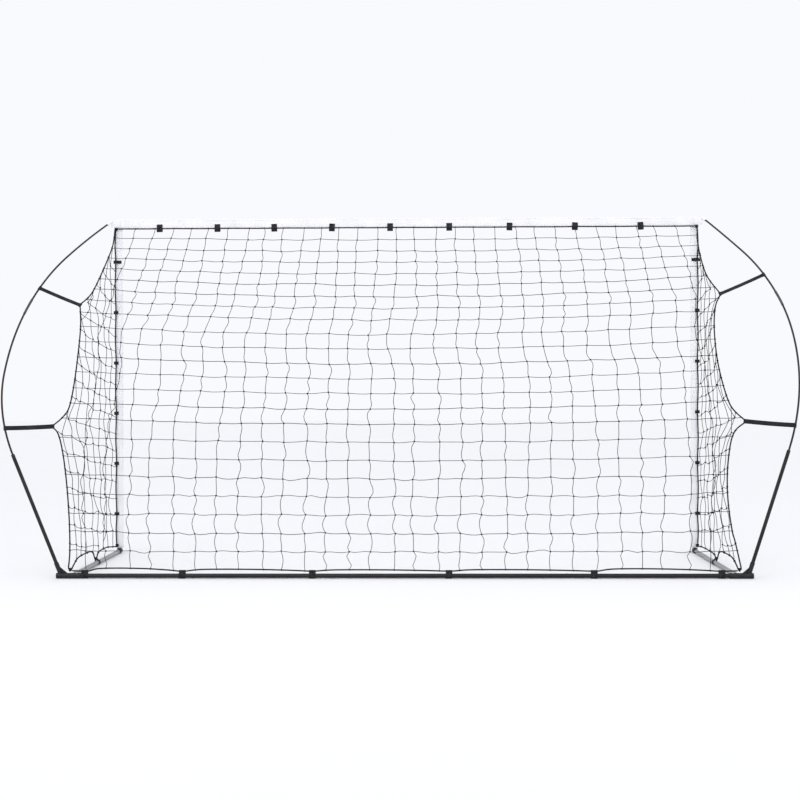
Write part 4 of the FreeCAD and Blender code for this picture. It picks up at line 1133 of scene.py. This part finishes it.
# ---------------------------------------------------------------- corner pockets, shock cords
def corner_pocket(side):
    """A sewn sleeve closed over the pole tip, with a flap behind the crossbar band."""
    bag = Bag()
    tip, direction = bow(side, POLE_END)
    path = np.array([tip + direction * d for d in np.linspace(-0.048, 0.0078, 20)])
    v = np.linspace(0, 1, 20)
    scale = (1 + 0.10 * np.exp(-((v - 0.03) / 0.04) ** 2)
             - 0.10 * np.exp(-((v - 0.12) / 0.05) ** 2) + 0.03 * np.sin(v * 30))
    scale[-3:] *= (0.93, 0.72, 0.30)
    sides = carried(path, FORWARD)
    section = circle(0.0088, 22)
    section = section * (1 + 0.025 * np.cos(np.arange(22) * 5))[:, None]
    bag.sweep(path, section, sides, scale)
    flap = [(tip[0] - side * x, MOUTH_Y - 0.0036 + 0.0006 * math.sin(x * 200), 2.133)
            for x in np.linspace(-0.002, 0.056, 12)]
    bag.strip(flap, 0.046, 0.0016, UP)
    bag.piece("corner_pocket_" + NAMES[side], "white_fabric")


def shock_cord(side):
    """Elastic cord down the middle of both pole sections."""
    path = [bow(side, d)[0] for d in np.linspace(-0.0798, POLE_END - 0.0002, 150)]
    bag = Bag()
    bag.tube(path, 0.0017, around=10)
    bag.piece("shock_cord_" + NAMES[side], "elastic_cord")


for side in (LEFT, RIGHT):
    corner_pocket(side)
    shock_cord(side)


# ---------------------------------------------------------------- springs under the buttons
# place of each button, whether it sits in a corner's full sleeve, and where its spring points
BUTTONS = {
    "rear_left": ((-0.910, -0.55), False, (-1, 0)),
    "rear_centre": ((0.035, -0.55), False, (-1, 0)),
    "rear_right": ((0.910, -0.55), False, (1, 0)),
    "corner_left": ((-1.828, -0.55), True, (1, 0)),
    "corner_right": ((1.828, -0.55), True, (-1, 0)),
    "side_left": ((-SIDE_BAR_X, -0.4965), False, (0, 1)),
    "side_right": ((SIDE_BAR_X, -0.4965), False, (0, 1)),
}


def spring(place):
    """A V of spring strip under one button."""
    (x, y), full, heading = BUTTONS[place]
    flange, drop, travel = (0.0083, 0.0099, 0.0064) if full else (0.006, 0.0076, 0.0052)
    height = flange + drop - 0.0001
    half = 0.0004
    reach = 0.043
    line = smooth([(-0.005, height - half), (0.004, height - half), (0.010, height - 0.0013),
                   (0.030, height * 0.66), (reach - 0.0065, height * 0.555),
                   (reach - 0.0054, height * 0.5), (reach - 0.0065, height * 0.445),
                   (0.030, height * 0.34), (0.010, 0.0013), (0.004, half), (-0.005, half)],
                  0.0012)
    way = np.array([*heading, 0.0])
    foot = np.array([x, y, AXIS_Z - drop])
    bag = Bag()
    bag.strip(foot + np.outer(line[:, 0], way) + np.outer(line[:, 1], UP), 0.008, 0.0008,
              np.cross(way, UP))
    piece = bag.piece("snap_spring_" + place, "spring_steel", "snap_springs")
    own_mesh(piece)


for place in BUTTONS:
    spring(place)


# ---------------------------------------------------------------- studio
def look(aim):
    """Rotation that points an object's -Z along aim, its top up."""
    return Vector(aim).to_track_quat("-Z", "Y").to_euler()


def studio():
    bpy.ops.mesh.primitive_grid_add(x_subdivisions=4, y_subdivisions=4, size=60,
                                    location=(0, 8, -0.0006))
    floor = bpy.context.object
    floor.name = "studio_floor"
    floor.data.materials.append(floor_finish())
    world = bpy.data.worlds.new("studio_light")
    world.use_nodes = True
    sky = world.node_tree.nodes["Background"]
    sky.inputs[0].default_value = (0.945, 0.955, 0.985, 1)
    sky.inputs[1].default_value = 1.0
    bpy.context.scene.world = world
    for name, tilt, turn, power, spread in (("key_sun", 42, -25, 0.50, 50),
                                            ("fill_sun", 60, 40, 0.22, 80)):
        lamp = bpy.data.lights.new(name, "SUN")
        lamp.energy = power
        lamp.angle = math.radians(spread)
        light = bpy.data.objects.new(name, lamp)
        light.rotation_euler = (math.radians(tilt), 0, math.radians(turn))
        bpy.context.scene.collection.objects.link(light)
    lamp = bpy.data.lights.new("strip_light", "AREA")
    lamp.shape = "RECTANGLE"
    lamp.size, lamp.size_y = 9.0, 0.35
    lamp.energy = 45
    light = bpy.data.objects.new("strip_light", lamp)
    light.location = (0, -3.2, 4.2)
    light.rotation_euler = look(np.array([0, -0.5, 0]) - np.array(light.location))
    bpy.context.scene.collection.objects.link(light)


EYE = (0.12, -7.45, 1.039)
EYE_TURN = (89.634, 0.15, 1.117)
LENS = 55.755


def camera():
    lens = bpy.data.cameras.new("camera")
    lens.lens = LENS
    lens.sensor_width = 36.0
    eye = bpy.data.objects.new("camera", lens)
    eye.location = EYE
    eye.rotation_mode = "XYZ"
    eye.rotation_euler = [math.radians(angle) for angle in EYE_TURN]
    bpy.context.scene.collection.objects.link(eye)
    bpy.context.scene.camera = eye


studio()
camera()
bpy.context.scene.view_settings.view_transform = "Standard"

bpy.context.view_layer.update()
